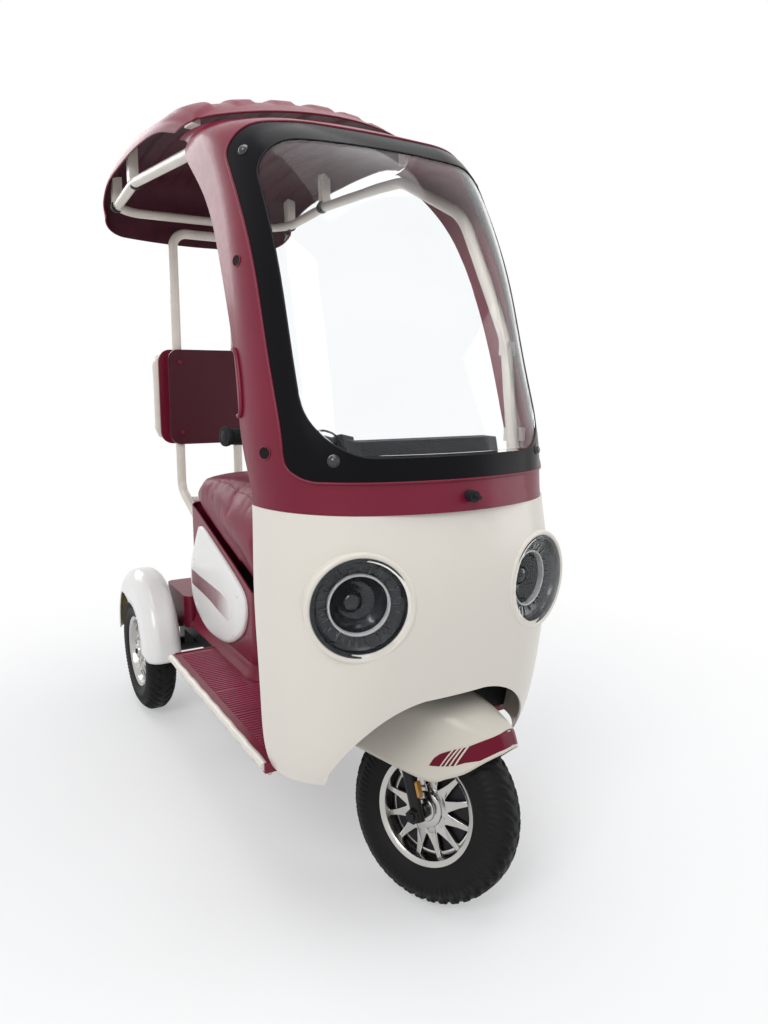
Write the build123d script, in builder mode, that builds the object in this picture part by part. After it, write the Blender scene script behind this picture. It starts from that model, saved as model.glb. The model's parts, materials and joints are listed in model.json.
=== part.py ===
from build123d import *
from math import asin, atan2, cos, degrees, hypot, radians, sin
import os

os.makedirs("parts", exist_ok=True)

# Electric tricycle, one wheel in front and two behind, with a windscreen hood and a roof.
# X points to the vehicle's left, -Y is forward, Z is up, and the wheels stand on z = 0.
# Lengths along the vehicle are measured backwards from the front axle line and placed by behind().

# Wheels
tyre_radius = 195.0
tyre_half_width = 46.0
tread_half_width = 17.0
rim_radius = 113.0
rim_seat_radius = 105.0
rim_half_width = 39.0
rim_wall = 4.0
seat_gap = 0.3
hub_radius = 27.0
spoke_count = 10
axle_radius = 8.0
front_axle_y = -668.0
wheelbase = 1260.0
rear_track = 556.0

# Steering
rake = 25.7
steer_rest = 26.5
axle_lead = 37.3
fork_leg_x = 66.0
fork_leg_radius = 13.0
fork_crown_height = 224.0
stem_radius = 14.0
head_low = 274.0
head_high = 440.0
head_radius = 24.0
bar_height = 834.0
bar_half_width = 332.0
bar_sweep = 50.0
bar_radius = 11.0
grip_length = 120.0
grip_radius = 16.0

# Shells
shell_wall = 4.0
lap_gap = 0.5
band_bottom = 857.0

# Footboard and frame
floor_top = 317.6
floor_thick = 22.0
floor_half_width = 314.0
floor_front = 135.3
floor_rear = 848.0
rail_x = 150.0
rail_size = 40.0
rail_top = floor_top - floor_thick

# Seat
seat_half_width = 172.0
seat_front = 545.0
seat_rear = 1112.0
seat_wall = 4.0
saddle_gap = 0.5


def behind(distance):
    """Y of a point this far behind the front axle line."""
    return front_axle_y + distance


# A crowned section is a D: a chord on the plane's x axis, short straight sides, two corner arcs
# and one crown arc towards the plane's y axis.
def crown_section(plane, half_width, depth, corner, side):
    rise = depth - side
    reach = half_width - corner
    crown = (rise**2 + reach**2 - corner**2) / (2 * (rise - corner))
    lean = atan2(crown - rise, reach)
    middle = lean / 2
    tangent = (reach + corner * cos(lean), side + corner * sin(lean))
    bend = (reach + corner * cos(middle), side + corner * sin(middle))
    with BuildSketch(plane) as section:
        with BuildLine():
            Polyline((-half_width, side), (-half_width, 0), (half_width, 0), (half_width, side))
            ThreePointArc((half_width, side), bend, tangent)
            ThreePointArc(tangent, (0, depth), (-tangent[0], tangent[1]))
            ThreePointArc((-tangent[0], tangent[1]), (-bend[0], bend[1]), (-half_width, side))
        make_face()
    return section.sketch


# A crowned form is lofted through stations with these columns:
# edge distance and height, crown distance and height, half width, corner radius, straight side.
def crowned_form(stations):
    sections = []
    for edge_d, edge_z, crown_d, crown_z, half_width, corner, side in stations:
        edge = Vector(0, behind(edge_d), edge_z)
        crown = Vector(0, behind(crown_d), crown_z)
        run = crown - edge
        normal = Vector(1, 0, 0).cross(run)
        plane = Plane(origin=edge, x_dir=(1, 0, 0), z_dir=normal)
        sections.append(crown_section(plane, half_width, run.length, corner, side))
    with BuildPart() as form:
        loft(sections)
    return form.part


# The same stations drawn in by a wall, run out past both ends and open at the chord.
def inset(stations, wall, overrun=12.0, opening=60.0):
    drawn = []
    last = len(stations) - 1
    for index, (edge_d, edge_z, crown_d, crown_z, half_width, corner, side) in enumerate(stations):
        before = stations[max(index - 1, 0)]
        after = stations[min(index + 1, last)]
        along = Vector(after[2] - before[2], after[3] - before[3]).normalized()
        across = Vector(edge_d - crown_d, edge_z - crown_z).normalized()
        inward = across - along * along.dot(across)
        inward = inward.normalized() * wall
        run_out = Vector(0, 0)
        if index == 0:
            run_out = along * -overrun
        if index == last:
            run_out = along * overrun
        drawn.append((
            edge_d + across.X * opening + run_out.X,
            edge_z + across.Y * opening + run_out.Y,
            crown_d + inward.X + run_out.X,
            crown_z + inward.Y + run_out.Y,
            half_width - wall,
            corner - wall,
            side + opening,
        ))
    return drawn


def tube(points, radii, radius, bore=0.0):
    """A round tube along straight runs joined by tangent arcs."""
    with BuildPart() as run:
        with BuildLine() as path:
            if radii:
                FilletPolyline(*points, radius=radii)
            else:
                Polyline(*points)
        start = Plane(origin=path.line @ 0, z_dir=path.line % 0)
        with BuildSketch(start):
            Circle(radius)
            if bore:
                Circle(bore, mode=Mode.SUBTRACT)
        sweep(path=path.line)
    return run.part


def save(builder, name):
    builder.part.label = name
    export_step(builder.part, "parts/" + name + ".step")


# Steering frame: its origin is the point of the steering axis level with the front axle,
# z runs up the axis, y backwards and x to the left. It rests turned to the left by steer_rest.
rake_sin = sin(radians(rake))
rake_cos = cos(radians(rake))
wheel_lean = asin(rake_sin * sin(radians(steer_rest)))
tyre_reach = tyre_radius * cos(wheel_lean) + tread_half_width * sin(wheel_lean)
turn_drop = axle_lead * rake_sin * (1 - cos(radians(steer_rest)))
front_axle_z = tyre_reach + turn_drop
steer_origin = Vector(0, front_axle_y + axle_lead * rake_cos, front_axle_z - axle_lead * rake_sin)
steer_straight = Plane(origin=steer_origin, x_dir=(1, 0, 0), z_dir=(0, rake_sin, rake_cos))
steer_location = steer_straight.location * Location((0, 0, 0), (0, 0, steer_rest))


def steered(builder, name):
    """Moves a piece drawn in the steering frame to its rest place and stores it."""
    builder.part = steer_location * builder.part
    save(builder, name)


# Tyre: an open ring round the rim, drawn as (half width, radius) points of one side.
tyre_side = [
    (rim_half_width - rim_wall - seat_gap, rim_seat_radius + seat_gap),
    (rim_half_width - rim_wall - seat_gap, rim_radius + seat_gap),
    (tyre_half_width, rim_radius + 24),
    (tyre_half_width - 6, tyre_radius - 21),
    (tread_half_width, tyre_radius),
]


def tyre_ring():
    with BuildPart() as ring:
        with BuildSketch(Plane.XY):
            with BuildLine():
                Polyline(*tyre_side, *[(-x, r) for x, r in reversed(tyre_side)], close=True)
            make_face()
        revolve(axis=Axis.X)
    return ring.part


def wheel_rim(drum_side):
    """Cast rim: barrel with two flanges, spokes near the outer face, hub and brake drum."""
    barrel = [
        (rim_half_width, rim_radius),
        (rim_half_width - rim_wall, rim_radius),
        (rim_half_width - rim_wall, rim_seat_radius),
    ]
    with BuildPart() as rim:
        with BuildSketch(Plane.XY):
            with BuildLine():
                Polyline(*barrel, *[(-x, r) for x, r in reversed(barrel)],
                         (-rim_half_width, rim_seat_radius - 6), (rim_half_width, rim_seat_radius - 6),
                         close=True)
            make_face()
        revolve(axis=Axis.X)
        with BuildSketch(Plane.YZ.offset(-40)):
            Circle(hub_radius)
            Circle(axle_radius + seat_gap, mode=Mode.SUBTRACT)
        extrude(amount=80)
        with BuildSketch(Plane.YZ.offset(-drum_side * 2)):
            Circle(62)
            Circle(hub_radius - 1, mode=Mode.SUBTRACT)
        extrude(amount=drum_side * 34)
        spoke_plane = Plane.YZ.offset(-drum_side * 24)
        with BuildSketch(spoke_plane):
            with PolarLocations(0, spoke_count):
                with Locations((63, 0)):
                    Trapezoid(20, 80, 86, rotation=-90)
            Circle(hub_radius - 2, mode=Mode.SUBTRACT)
        extrude(amount=-drum_side * 10)
    return rim.part


for wheel in ("front_wheel",):
    with BuildPart() as front_tyre:
        add(tyre_ring())
    with BuildPart() as front_rim:
        add(wheel_rim(1))
    hub_location = Location((0, -axle_lead, 0))
    front_tyre.part = hub_location * front_tyre.part
    front_rim.part = hub_location * front_rim.part
    steered(front_tyre, "front_tyre")
    steered(front_rim, "front_rim")

for side, sign in (("right", -1), ("left", 1)):
    place = Location((sign * rear_track / 2, behind(wheelbase), tyre_radius))
    with BuildPart() as rear_tyre:
        add(tyre_ring())
    rear_tyre.part = place * rear_tyre.part
    save(rear_tyre, "rear_tyre_" + side)
    with BuildPart() as rear_rim:
        add(wheel_rim(-sign))
    rear_rim.part = place * rear_rim.part
    save(rear_rim, "rear_rim_" + side)

# Fork: two legs, yoke and stem in one welded piece, with the axle across the leg ends.
with BuildPart() as fork:
    for sign in (-1, 1):
        with BuildSketch(Plane.XY.offset(-16)):
            with Locations((sign * fork_leg_x, -axle_lead)):
                Circle(fork_leg_radius)
        extrude(amount=fork_crown_height)
    with BuildSketch(Plane.XY.offset(fork_crown_height - 20)):
        with Locations((0, -axle_lead / 2)):
            RectangleRounded(2 * fork_leg_x + 16, axle_lead + 40, 12)
    extrude(amount=20)
    with BuildSketch(Plane.XY.offset(fork_crown_height - 2)):
        Circle(stem_radius)
    extrude(amount=bar_height - fork_crown_height - bar_radius + 2)
    with BuildSketch(Plane.XY.offset(fork_crown_height - 2)):
        Circle(stem_radius + 10)
    extrude(amount=28)
    with BuildSketch(Plane(origin=(-fork_leg_x - 22, -axle_lead, 0), x_dir=(0, 1, 0), z_dir=(1, 0, 0))):
        Circle(axle_radius)
    extrude(amount=2 * fork_leg_x + 44)
steered(fork, "fork")

with BuildPart() as handlebar:
    add(tube([(-bar_half_width, bar_sweep, bar_height), (-110, 0, bar_height + 10), (110, 0, bar_height + 10),
              (bar_half_width, bar_sweep, bar_height)], 60, bar_radius))
    with BuildSketch(Plane.XY.offset(bar_height - bar_radius + seat_gap)):
        RectangleRounded(60, 46, 10)
    extrude(amount=34)
steered(handlebar, "handlebar")

# Front fender: a crowned hood over the wheel, drawn from the back to the nose.
# Columns: distance ahead of the axle, bottom height, top height, half width, corner radius.
fender_stations = [
    (-118, 161, 258, 84, 50),
    (-20, 104, 266, 86, 52),
    (60, 64, 264, 88, 54),
    (140, 66, 240, 87, 56),
    (196, 84, 196, 78, 52),
    (226, 106, 142, 52, 20),
]


def fender_form(stations, wall=0.0, drop=0.0):
    sections = []
    for ahead, low, high, half_width, corner in stations:
        plane = Plane(origin=(0, -axle_lead - ahead + wall, low - drop), x_dir=(1, 0, 0), z_dir=(0, -1, 0))
        depth = high - wall - (low - drop)
        rise = corner - wall + 6
        sections.append(crown_section(plane, half_width - wall, depth, corner - wall, depth - rise))
    with BuildPart() as form:
        loft(sections)
    return form.part


fender_outer = fender_form(fender_stations)
fender_hollow = fender_form(
    [(fender_stations[0][0] - 20,) + fender_stations[0][1:]] + fender_stations[:], shell_wall, 30)
with BuildPart() as front_fender:
    add(fender_outer)
    add(fender_hollow, mode=Mode.SUBTRACT)
    with BuildSketch(Plane.XY.offset(fork_crown_height)):
        Circle(stem_radius + seat_gap)
    extrude(amount=60, mode=Mode.SUBTRACT)
steered(front_fender, "front_fender")

# Front fairing, from the windscreen band down to the floor.
fairing_stations = [
    (150, 880, -93, 880, 324.5, 218, 14),
    (145, 850, -98, 850, 325.5, 218, 12),
    (140, 740, -117, 740, 328, 212, 30),
    (137, 600, -110, 600, 326, 208, 29),
    (135, 500, -94, 500, 322, 196, 22),
    (135, 380, -62, 380, 316, 180, 5),
    (135, 308, -17, 308, 297, 134, 6),
]
fairing_outer = crowned_form(fairing_stations)
fairing_inner = crowned_form(inset(fairing_stations, shell_wall))

# Wheel arch, seen from the front.
arch_half_width = 236.0
arch_top = 488.0
with BuildPart() as arch_cut:
    with BuildSketch(Plane.XZ.offset(-behind(140))):
        with BuildLine():
            Polyline((-arch_half_width, 340), (-arch_half_width, 200), (arch_half_width, 200),
                     (arch_half_width, 340))
            ThreePointArc((arch_half_width, 340), (178, 440), (70, arch_top))
            Line((70, arch_top), (-70, arch_top))
            ThreePointArc((-70, arch_top), (-178, 440), (-arch_half_width, 340))
        make_face()
    extrude(amount=400)

# Headlamps
lamp_x = 204.3
lamp_d = -67.4
lamp_z = 690.8
lamp_radius = 86.5
lamp_yaw = 17.9
bezel_wall = 8.0


def lamp_plane(sign):
    """Plane of a lamp's front rim; its normal points forward and outward."""
    turn = radians(lamp_yaw)
    normal = (sign * sin(turn), -cos(turn), 0)
    return Plane(origin=(sign * lamp_x, behind(lamp_d), lamp_z), x_dir=(cos(turn), sign * sin(turn), 0),
                 z_dir=normal)


with BuildPart() as fairing:
    add(fairing_outer)
    add(fairing_inner, mode=Mode.SUBTRACT)
    add(arch_cut.part, mode=Mode.SUBTRACT)
    for sign in (-1, 1):
        with BuildSketch(lamp_plane(sign).offset(-32)):
            Circle(lamp_radius + bezel_wall)
        extrude(amount=42)
    for sign in (-1, 1):
        with BuildSketch(lamp_plane(sign).offset(-60)):
            Circle(lamp_radius + seat_gap)
        extrude(amount=120, mode=Mode.SUBTRACT)
    split(bisect_by=Plane.XY.offset(band_bottom - seat_gap), keep=Keep.BOTTOM)
save(fairing, "fairing")

# Lamp bowls, rings and lenses
for side, sign in (("right", -1), ("left", 1)):
    with BuildPart() as lamp_bowl:
        with BuildSketch(lamp_plane(sign).offset(-32)):
            Circle(lamp_radius)
        extrude(amount=30)
        with BuildSketch(lamp_plane(sign).offset(-62)) as back:
            Circle(lamp_radius * 0.6)
        extrude(amount=30.5)
        with BuildSketch(lamp_plane(sign).offset(-26)):
            Circle(lamp_radius - 4)
        extrude(amount=30, mode=Mode.SUBTRACT)
    save(lamp_bowl, "lamp_bowl_" + side)
    with BuildPart() as lamp_lens:
        with BuildSketch(lamp_plane(sign).offset(-2)):
            Circle(lamp_radius)
        extrude(amount=4)
    save(lamp_lens, "lamp_lens_" + side)
with BuildPart() as lamp_rings:
    for sign in (-1, 1):
        with BuildSketch(lamp_plane(sign).offset(-25.7)):
            Circle(58)
            Circle(50, mode=Mode.SUBTRACT)
        extrude(amount=12)
save(lamp_rings, "lamp_rings")

# Windscreen hood: one crowned shell from the band to the roof, cut into frame, border and pane.
hood_stations = [
    (138, 820, -108, 820, 331, 227, 10),
    (176, 950, -82, 950, 328, 224, 22),
    (215, 1070, -48, 1070, 325, 218, 30),
    (265, 1212, -3, 1212, 320, 210, 39),
    (340, 1361, 57, 1363, 315, 200, 64),
    (425, 1470, 120, 1480, 310, 195, 92),
    (530, 1555, 210, 1575, 308, 190, 124),
    (585, 1600, 300, 1622, 300, 185, 90),
    (640, 1636, 405, 1658, 296, 175, 20),
]
with BuildPart() as hood:
    add(crowned_form(hood_stations))
    add(crowned_form(inset(hood_stations, shell_wall)), mode=Mode.SUBTRACT)
    split(bisect_by=Plane.XY.offset(band_bottom), keep=Keep.TOP)
hood_shell = hood.part

# Screen outlines, seen from the front: columns are height and half width, from the bottom up.
frame_opening = [(922, 284), (950, 300), (1200, 301), (1400, 301), (1540, 296), (1584, 262), (1594, 220)]
pane_outline = [(963, 215), (999, 247), (1036, 265), (1080, 272), (1310, 275), (1480, 275), (1528, 256), (1550, 214)]


def screen_cut(outline):
    with BuildPart() as cut:
        with BuildSketch(Plane.XZ.offset(-behind(620))):
            with BuildLine():
                Polyline(*[(x, z) for z, x in outline], *[(-x, z) for z, x in reversed(outline)], close=True)
            make_face()
        extrude(amount=900)
    return cut.part


frame_cut = screen_cut(frame_opening)
pane_cut = screen_cut(pane_outline)
with BuildPart() as screen_surround:
    add(hood_shell)
    add(frame_cut, mode=Mode.SUBTRACT)
save(screen_surround, "screen_surround")
with BuildPart() as screen_border:
    add(hood_shell)
    add(frame_cut, mode=Mode.INTERSECT)
    add(pane_cut, mode=Mode.SUBTRACT)
save(screen_border, "screen_border")
with BuildPart() as screen_pane:
    add(hood_shell)
    add(pane_cut, mode=Mode.INTERSECT)
save(screen_pane, "screen_pane")

# Roof shell
roof_stations = [
    (645, 1650, 402, 1672, 304, 172, 20),
    (750, 1674, 560, 1730, 318, 150, 10),
    (900, 1682, 810, 1742, 326, 80, 6),
    (1090, 1678, 1090, 1740, 328, 50, 6),
    (1280, 1664, 1330, 1712, 328, 50, 6),
    (1390, 1622, 1452, 1650, 324, 50, 6),
    (1410, 1565, 1490, 1538, 318, 70, 6),
]
with BuildPart() as roof:
    add(crowned_form(roof_stations))
    add(crowned_form(inset(roof_stations, shell_wall)), mode=Mode.SUBTRACT)
save(roof, "roof")

# Roof frame: one bent tube from the left band, up the pillar, round the roof and down the right pillar,
# with pads that carry the hood and the roof.
# Pads: half width from, to; distance from, to; height from, to; the shell they carry.
roof_tube_radius = 14.0
hood_seat = crowned_form(inset(hood_stations, shell_wall + seat_gap))
roof_seat = crowned_form(inset(roof_stations, shell_wall + seat_gap))
pads = [
    (270, 340, 100, 124, 960, 990, hood_seat),
    (270, 340, 120, 150, 1150, 1180, hood_seat),
    (270, 300, 560, 590, 1600, 1700, roof_seat),
    (286, 312, 1075, 1105, 1632, 1760, roof_seat),
    (276, 304, 1330, 1360, 1612, 1760, roof_seat),
]
pad_blocks = []
for near, far, front, rear, low, high, seat in pads:
    for sign in (-1, 1):
        with BuildPart() as pad:
            with BuildSketch(Plane.XY.offset(low)):
                with Locations((sign * (near + far) / 2, behind((front + rear) / 2))):
                    Rectangle(far - near, rear - front)
            extrude(amount=high - low)
            add(seat, mode=Mode.INTERSECT)
        pad_blocks.append(pad.part)
with BuildPart() as roof_frame:
    half = [(279, 94, 905), (279, 135, 1180), (278, 310, 1476), (275, 580, 1604), (276, 700, 1612),
            (296, 1090, 1630), (290, 1395, 1606)]
    path = [(-x, behind(distance), z) for x, distance, z in half]
    path += [(x, behind(distance), z) for x, distance, z in reversed(half)]
    bends = [150, 150, 150, 150, 150, 90]
    add(tube(path, bends + bends[::-1], roof_tube_radius))
    for block in pad_blocks:
        add(block)
save(roof_frame, "roof_frame")

# Seat-back frame: an inverted U whose feet bend forward, with a crossbar.
upright_x = 103.5
upright_d = 1410.8
upright_radius = 15.0
upright_bore = 12.5
upright_top = 1560.0
foot_d = 1235.0
foot_z = 629.0
with BuildPart() as seat_back_frame:
    add(tube([
        (-upright_x, behind(foot_d), foot_z), (-upright_x, behind(upright_d), 705),
        (-upright_x, behind(upright_d), upright_top), (upright_x, behind(upright_d), upright_top),
        (upright_x, behind(upright_d), 705), (upright_x, behind(foot_d), foot_z),
    ], [50, 45, 45, 50], upright_radius, upright_bore))
    with BuildSketch(Plane(origin=(-upright_x + upright_bore + 1, behind(1340), 674), x_dir=(0, 1, 0),
                           z_dir=(1, 0, 0))):
        Circle(11)
    extrude(amount=2 * (upright_x - upright_bore - 1))
save(seat_back_frame, "seat_back_frame")

# Backrest: a front board, a rear board and a cushion behind it.
back_low = 863.0
back_high = 1182.0
back_mid = (back_low + back_high) / 2
front_board_d = upright_d - upright_radius - seat_gap
rear_board_d = upright_d + upright_radius + seat_gap
with BuildPart() as back_front_board:
    with BuildSketch(Plane.XZ.offset(-behind(front_board_d))):
        with Locations((0, back_mid)):
            RectangleRounded(282, back_high - back_low, 34)
    extrude(amount=12)
save(back_front_board, "back_front_board")
with BuildPart() as back_rear_board:
    with BuildSketch(Plane.XZ.offset(-behind(rear_board_d))):
        with Locations((0, back_mid)):
            RectangleRounded(326, back_high - back_low, 40)
    extrude(amount=-10)
save(back_rear_board, "back_rear_board")
with BuildPart() as back_cushion:
    with BuildSketch(Plane.XZ.offset(-behind(rear_board_d + 10 + seat_gap))):
        with Locations((0, back_mid)):
            RectangleRounded(350, back_high - back_low + 10, 48)
    extrude(amount=-48)
save(back_cushion, "back_cushion")

# Saddle and seat box. Saddle stations: distance, bottom height, top height, half width.
saddle_stations = [
    (seat_front, 536, 782, 162),
    (700, 548 + 42, 800, 172),
    (860, 640, 806, 176),
    (1040, 696, 792, 172),
    (1130, 712, 756, 152),
]


def saddle_form():
    sections = []
    for distance, low, high, half_width in saddle_stations:
        plane = Plane(origin=(0, behind(distance), low), x_dir=(1, 0, 0), z_dir=(0, -1, 0))
        corner = min(60, (high - low) * 0.6)
        sections.append(crown_section(plane, half_width, high - low, corner, high - low - corner - 10))
    with BuildPart() as form:
        loft(sections, ruled=True)
    return form.part


with BuildPart() as saddle:
    add(saddle_form())
save(saddle, "saddle")

with BuildPart() as seat_box:
    with BuildSketch(Plane.XY.offset(floor_top)):
        with Locations((0, behind((seat_front + seat_rear) / 2))):
            RectangleRounded(2 * seat_half_width - 6, seat_rear - seat_front - 6, 40)
    extrude(amount=420)
    with BuildSketch(Plane.XY.offset(floor_top + seat_wall)):
        with Locations((0, behind((seat_front + seat_rear) / 2))):
            RectangleRounded(2 * seat_half_width - 6 - 2 * seat_wall, seat_rear - seat_front - 6 - 2 * seat_wall,
                             36)
    extrude(amount=500, mode=Mode.SUBTRACT)
    with BuildSketch(Plane.YZ.offset(-seat_half_width - 10)):
        with BuildLine():
            Polyline(*[(behind(station[0]), station[1] - saddle_gap) for station in saddle_stations],
                     (behind(saddle_stations[-1][0]), 900), (behind(seat_front), 900), close=True)
        make_face()
    extrude(amount=2 * seat_half_width + 20, mode=Mode.SUBTRACT)
save(seat_box, "seat_box")

# Teardrop side panels on the seat box, drawn as distance and height of their outline.
panel_thick = 8.0
panel_outline = [
    (947, 650), (745, 584), (646, 546), (612, 510), (615, 460), (658, 404), (768, 354),
    (917, 341), (1008, 362), (1077, 402), (1093, 460), (1087, 510), (1060, 560), (1000, 640),
]
for side, sign in (("right", -1), ("left", 1)):
    with BuildPart() as side_panel:
        with BuildSketch(Plane.YZ.offset(sign * (seat_half_width - 3 + seat_gap))):
            with BuildLine():
                Polyline(*[(behind(distance), height) for distance, height in panel_outline], close=True)
            make_face()
        extrude(amount=sign * panel_thick)
    save(side_panel, "side_panel_" + side)

# Battery block inside the seat box.
with BuildPart() as battery:
    with BuildSketch(Plane.XY.offset(floor_top + seat_wall + seat_gap)):
        with Locations((0, behind(850))):
            Rectangle(240, 400)
    extrude(amount=170)
save(battery, "battery")

# Tunnel over the front wheel and the steering column: half width and back end at the floor and at its top.
tunnel_low = (138.0, 376.0)
tunnel_high = (108.0, 312.0)
tunnel_top = 612.0

# Footboard
with BuildPart() as footboard:
    with BuildSketch(Plane.XY.offset(rail_top)):
        with Locations((0, behind((floor_front + floor_rear) / 2))):
            Rectangle(2 * floor_half_width, floor_rear - floor_front)
    extrude(amount=floor_thick)
    with BuildSketch(Plane.XY.offset(rail_top)):
        with Locations((0, behind(120))):
            Rectangle(2 * tunnel_low[0] + 1, 2 * (tunnel_low[1] - 120) + 1)
    extrude(amount=floor_thick, mode=Mode.SUBTRACT)
save(footboard, "footboard")


# Sills under the footboard edges.
with BuildPart() as sills:
    for sign in (-1, 1):
        with BuildSketch(Plane.YZ.offset(sign * (floor_half_width - 24))):
            with BuildLine():
                Polyline((behind(140), rail_top - seat_gap), (behind(140), 250), (behind(300), 248),
                         (behind(floor_rear - 20), 276), (behind(floor_rear - 20), rail_top - seat_gap), close=True)
            make_face()
        extrude(amount=sign * 20)
save(sills, "sills")

# Frame: two rails, cross members, down tube, head tube and seat-back posts, welded as one.
rail_front = 330.0
rail_rear = 1380.0
post_d = 1262.0
post_depth = 36.0
post_thick = 8.0
fender_inner_x = 222.0
with BuildPart() as frame:
    for sign in (-1, 1):
        with BuildSketch(Plane.XZ.offset(-behind(rail_front))):
            with Locations((sign * rail_x, rail_top - rail_size / 2)):
                Rectangle(30, rail_size)
        extrude(amount=-(rail_rear - rail_front))
    for distance in (rail_front + 15, 840.0, rail_rear - 15):
        with BuildSketch(Plane.YZ.offset(-rail_x)):
            with Locations((behind(distance), rail_top - rail_size / 2)):
                Rectangle(30, rail_size)
        extrude(amount=2 * rail_x)
    for distance in (450.0, 720.0):
        with BuildSketch(Plane.YZ.offset(-floor_half_width + 30)):
            with Locations((behind(distance), rail_top - 12.3)):
                Rectangle(24, 24)
        extrude(amount=2 * (floor_half_width - 30))
    down_low = Vector(0, behind(rail_front + 15), rail_top - 20)
    head_middle = steer_origin + Vector(0, rake_sin, rake_cos) * (head_low + 106)
    down = head_middle - down_low
    with BuildSketch(Plane(origin=down_low, x_dir=(1, 0, 0), z_dir=down)):
        Circle(20)
    extrude(amount=down.length)
    with BuildSketch(steer_straight.offset(head_low)):
        Circle(head_radius)
    extrude(amount=head_high - head_low)
    with BuildSketch(steer_straight.offset(head_low - 60)):
        Circle(stem_radius + seat_gap)
    extrude(amount=head_high - head_low + 120, mode=Mode.SUBTRACT)
    foot_rise = (705 - foot_z) / (upright_d - foot_d)
    foot_drop = (upright_radius + seat_gap) * hypot(1, foot_rise)
    front, rear = post_d - post_depth / 2, post_d + post_depth / 2
    for sign in (-1, 1):
        with BuildSketch(Plane.YZ.offset(sign * upright_x - post_thick / 2)):
            with BuildLine():
                Polyline((behind(front), rail_top - 10), (behind(rear), rail_top - 10),
                         (behind(rear), foot_z + (rear - foot_d) * foot_rise - foot_drop),
                         (behind(front), foot_z + (front - foot_d) * foot_rise - foot_drop), close=True)
            make_face()
        extrude(amount=post_thick)
    with BuildSketch(Plane.YZ.offset(-fender_inner_x + seat_gap)):
        with Locations((behind(post_d), rail_top - rail_size / 2)):
            Rectangle(30, rail_size - 10)
    extrude(amount=2 * (fender_inner_x - seat_gap))
save(frame, "frame")

# Rear axle: housing tube, spring seats, motor and axle stubs.
with BuildPart() as rear_axle:
    with BuildSketch(Plane(origin=(-200, behind(wheelbase), tyre_radius), x_dir=(0, 1, 0), z_dir=(1, 0, 0))):
        Circle(24)
    extrude(amount=400)
    with BuildSketch(Plane(origin=(-rear_track / 2 - 44, behind(wheelbase), tyre_radius), x_dir=(0, 1, 0),
                           z_dir=(1, 0, 0))):
        Circle(axle_radius)
    extrude(amount=rear_track + 88)
    for sign in (-1, 1):
        with BuildSketch(Plane.XY.offset(tyre_radius + 10)):
            with Locations((sign * rail_x, behind(wheelbase))):
                Rectangle(30, 60)
        extrude(amount=rail_top - rail_size - tyre_radius - 10 - seat_gap)
save(rear_axle, "rear_axle")
with BuildPart() as rear_motor:
    with BuildSketch(Plane(origin=(-70, behind(wheelbase), tyre_radius), x_dir=(0, 1, 0), z_dir=(1, 0, 0))):
        Circle(62)
        Circle(24 + seat_gap, mode=Mode.SUBTRACT)
    extrude(amount=140)
save(rear_motor, "rear_motor")

# Rear fenders: wide arches round the upper half of each wheel, with an inner side wall.
fender_radius = 272.0
fender_outer_x = 334.0
fender_ahead = 14.0
fender_low_front = 245.0
fender_low_rear = 235.0


def fender_profile(radius, drop):
    """Side profile of a rear fender: an arch with straight drops to its two lower edges."""
    middle = behind(wheelbase) - fender_ahead
    front, rear = middle - radius, middle + radius
    spring = tyre_radius + 60
    with BuildSketch(Plane.XY) as profile:
        with BuildLine():
            Polyline((front, spring), (front, fender_low_front - drop), (rear, fender_low_rear - drop),
                     (rear, spring))
            ThreePointArc((rear, spring), (middle, tyre_radius + radius + 14), (front, spring))
        make_face()
    return profile.sketch


fender_outside = fender_profile(fender_radius, 0)
fender_inside = fender_profile(fender_radius - shell_wall, 40)
for side, sign in (("right", -1), ("left", 1)):
    with BuildPart() as rear_fender:
        with BuildSketch(Plane.YZ.offset(sign * fender_inner_x)):
            add(fender_outside)
        extrude(amount=sign * (fender_outer_x - fender_inner_x))
        with BuildSketch(Plane.YZ.offset(sign * (fender_inner_x + shell_wall))):
            add(fender_inside)
        extrude(amount=sign * (fender_outer_x - fender_inner_x), mode=Mode.SUBTRACT)
    save(rear_fender, "rear_fender_" + side)

# Leg shield: a panel closing the fairing's back, with a tunnel over the wheel and the steering column.
shield_d = 126.0
dash_top = 885.0
dash_thick = 28.0


def tunnel_form(wall):
    sections = []
    low, high = Vector(*tunnel_low, rail_top), Vector(*tunnel_high, tunnel_top)
    front = shield_d - 20 * wall
    for share in (-0.1 * wall, 1 - wall / (tunnel_top - rail_top)):
        half_width, back, height = low + (high - low) * share
        with BuildSketch(Plane.XY.offset(height)) as section:
            with Locations((0, behind((front + back - wall) / 2))):
                Rectangle(2 * (half_width - wall), back - wall - front)
        sections.append(section.sketch)
    with BuildPart() as form:
        loft(sections)
    return form.part


shield_form = crowned_form(inset(fairing_stations, shell_wall + seat_gap))
with BuildPart() as leg_shield:
    with BuildSketch(Plane.XZ.offset(-behind(shield_d - shell_wall))):
        with Locations((0, (rail_top + dash_top) / 2)):
            Rectangle(900, dash_top - rail_top)
    extrude(amount=-shell_wall)
    add(shield_form, mode=Mode.INTERSECT)
    split(bisect_by=Plane.XY.offset(dash_top - dash_thick - seat_gap), keep=Keep.BOTTOM)
    split(bisect_by=Plane.XY.offset(floor_top + seat_gap), keep=Keep.TOP)
    add(tunnel_form(0.0))
    add(tunnel_form(shell_wall), mode=Mode.SUBTRACT)
    with BuildSketch(steer_straight.offset(head_high)):
        Circle(stem_radius + 8)
    extrude(amount=260, mode=Mode.SUBTRACT)
save(leg_shield, "leg_shield")

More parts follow.
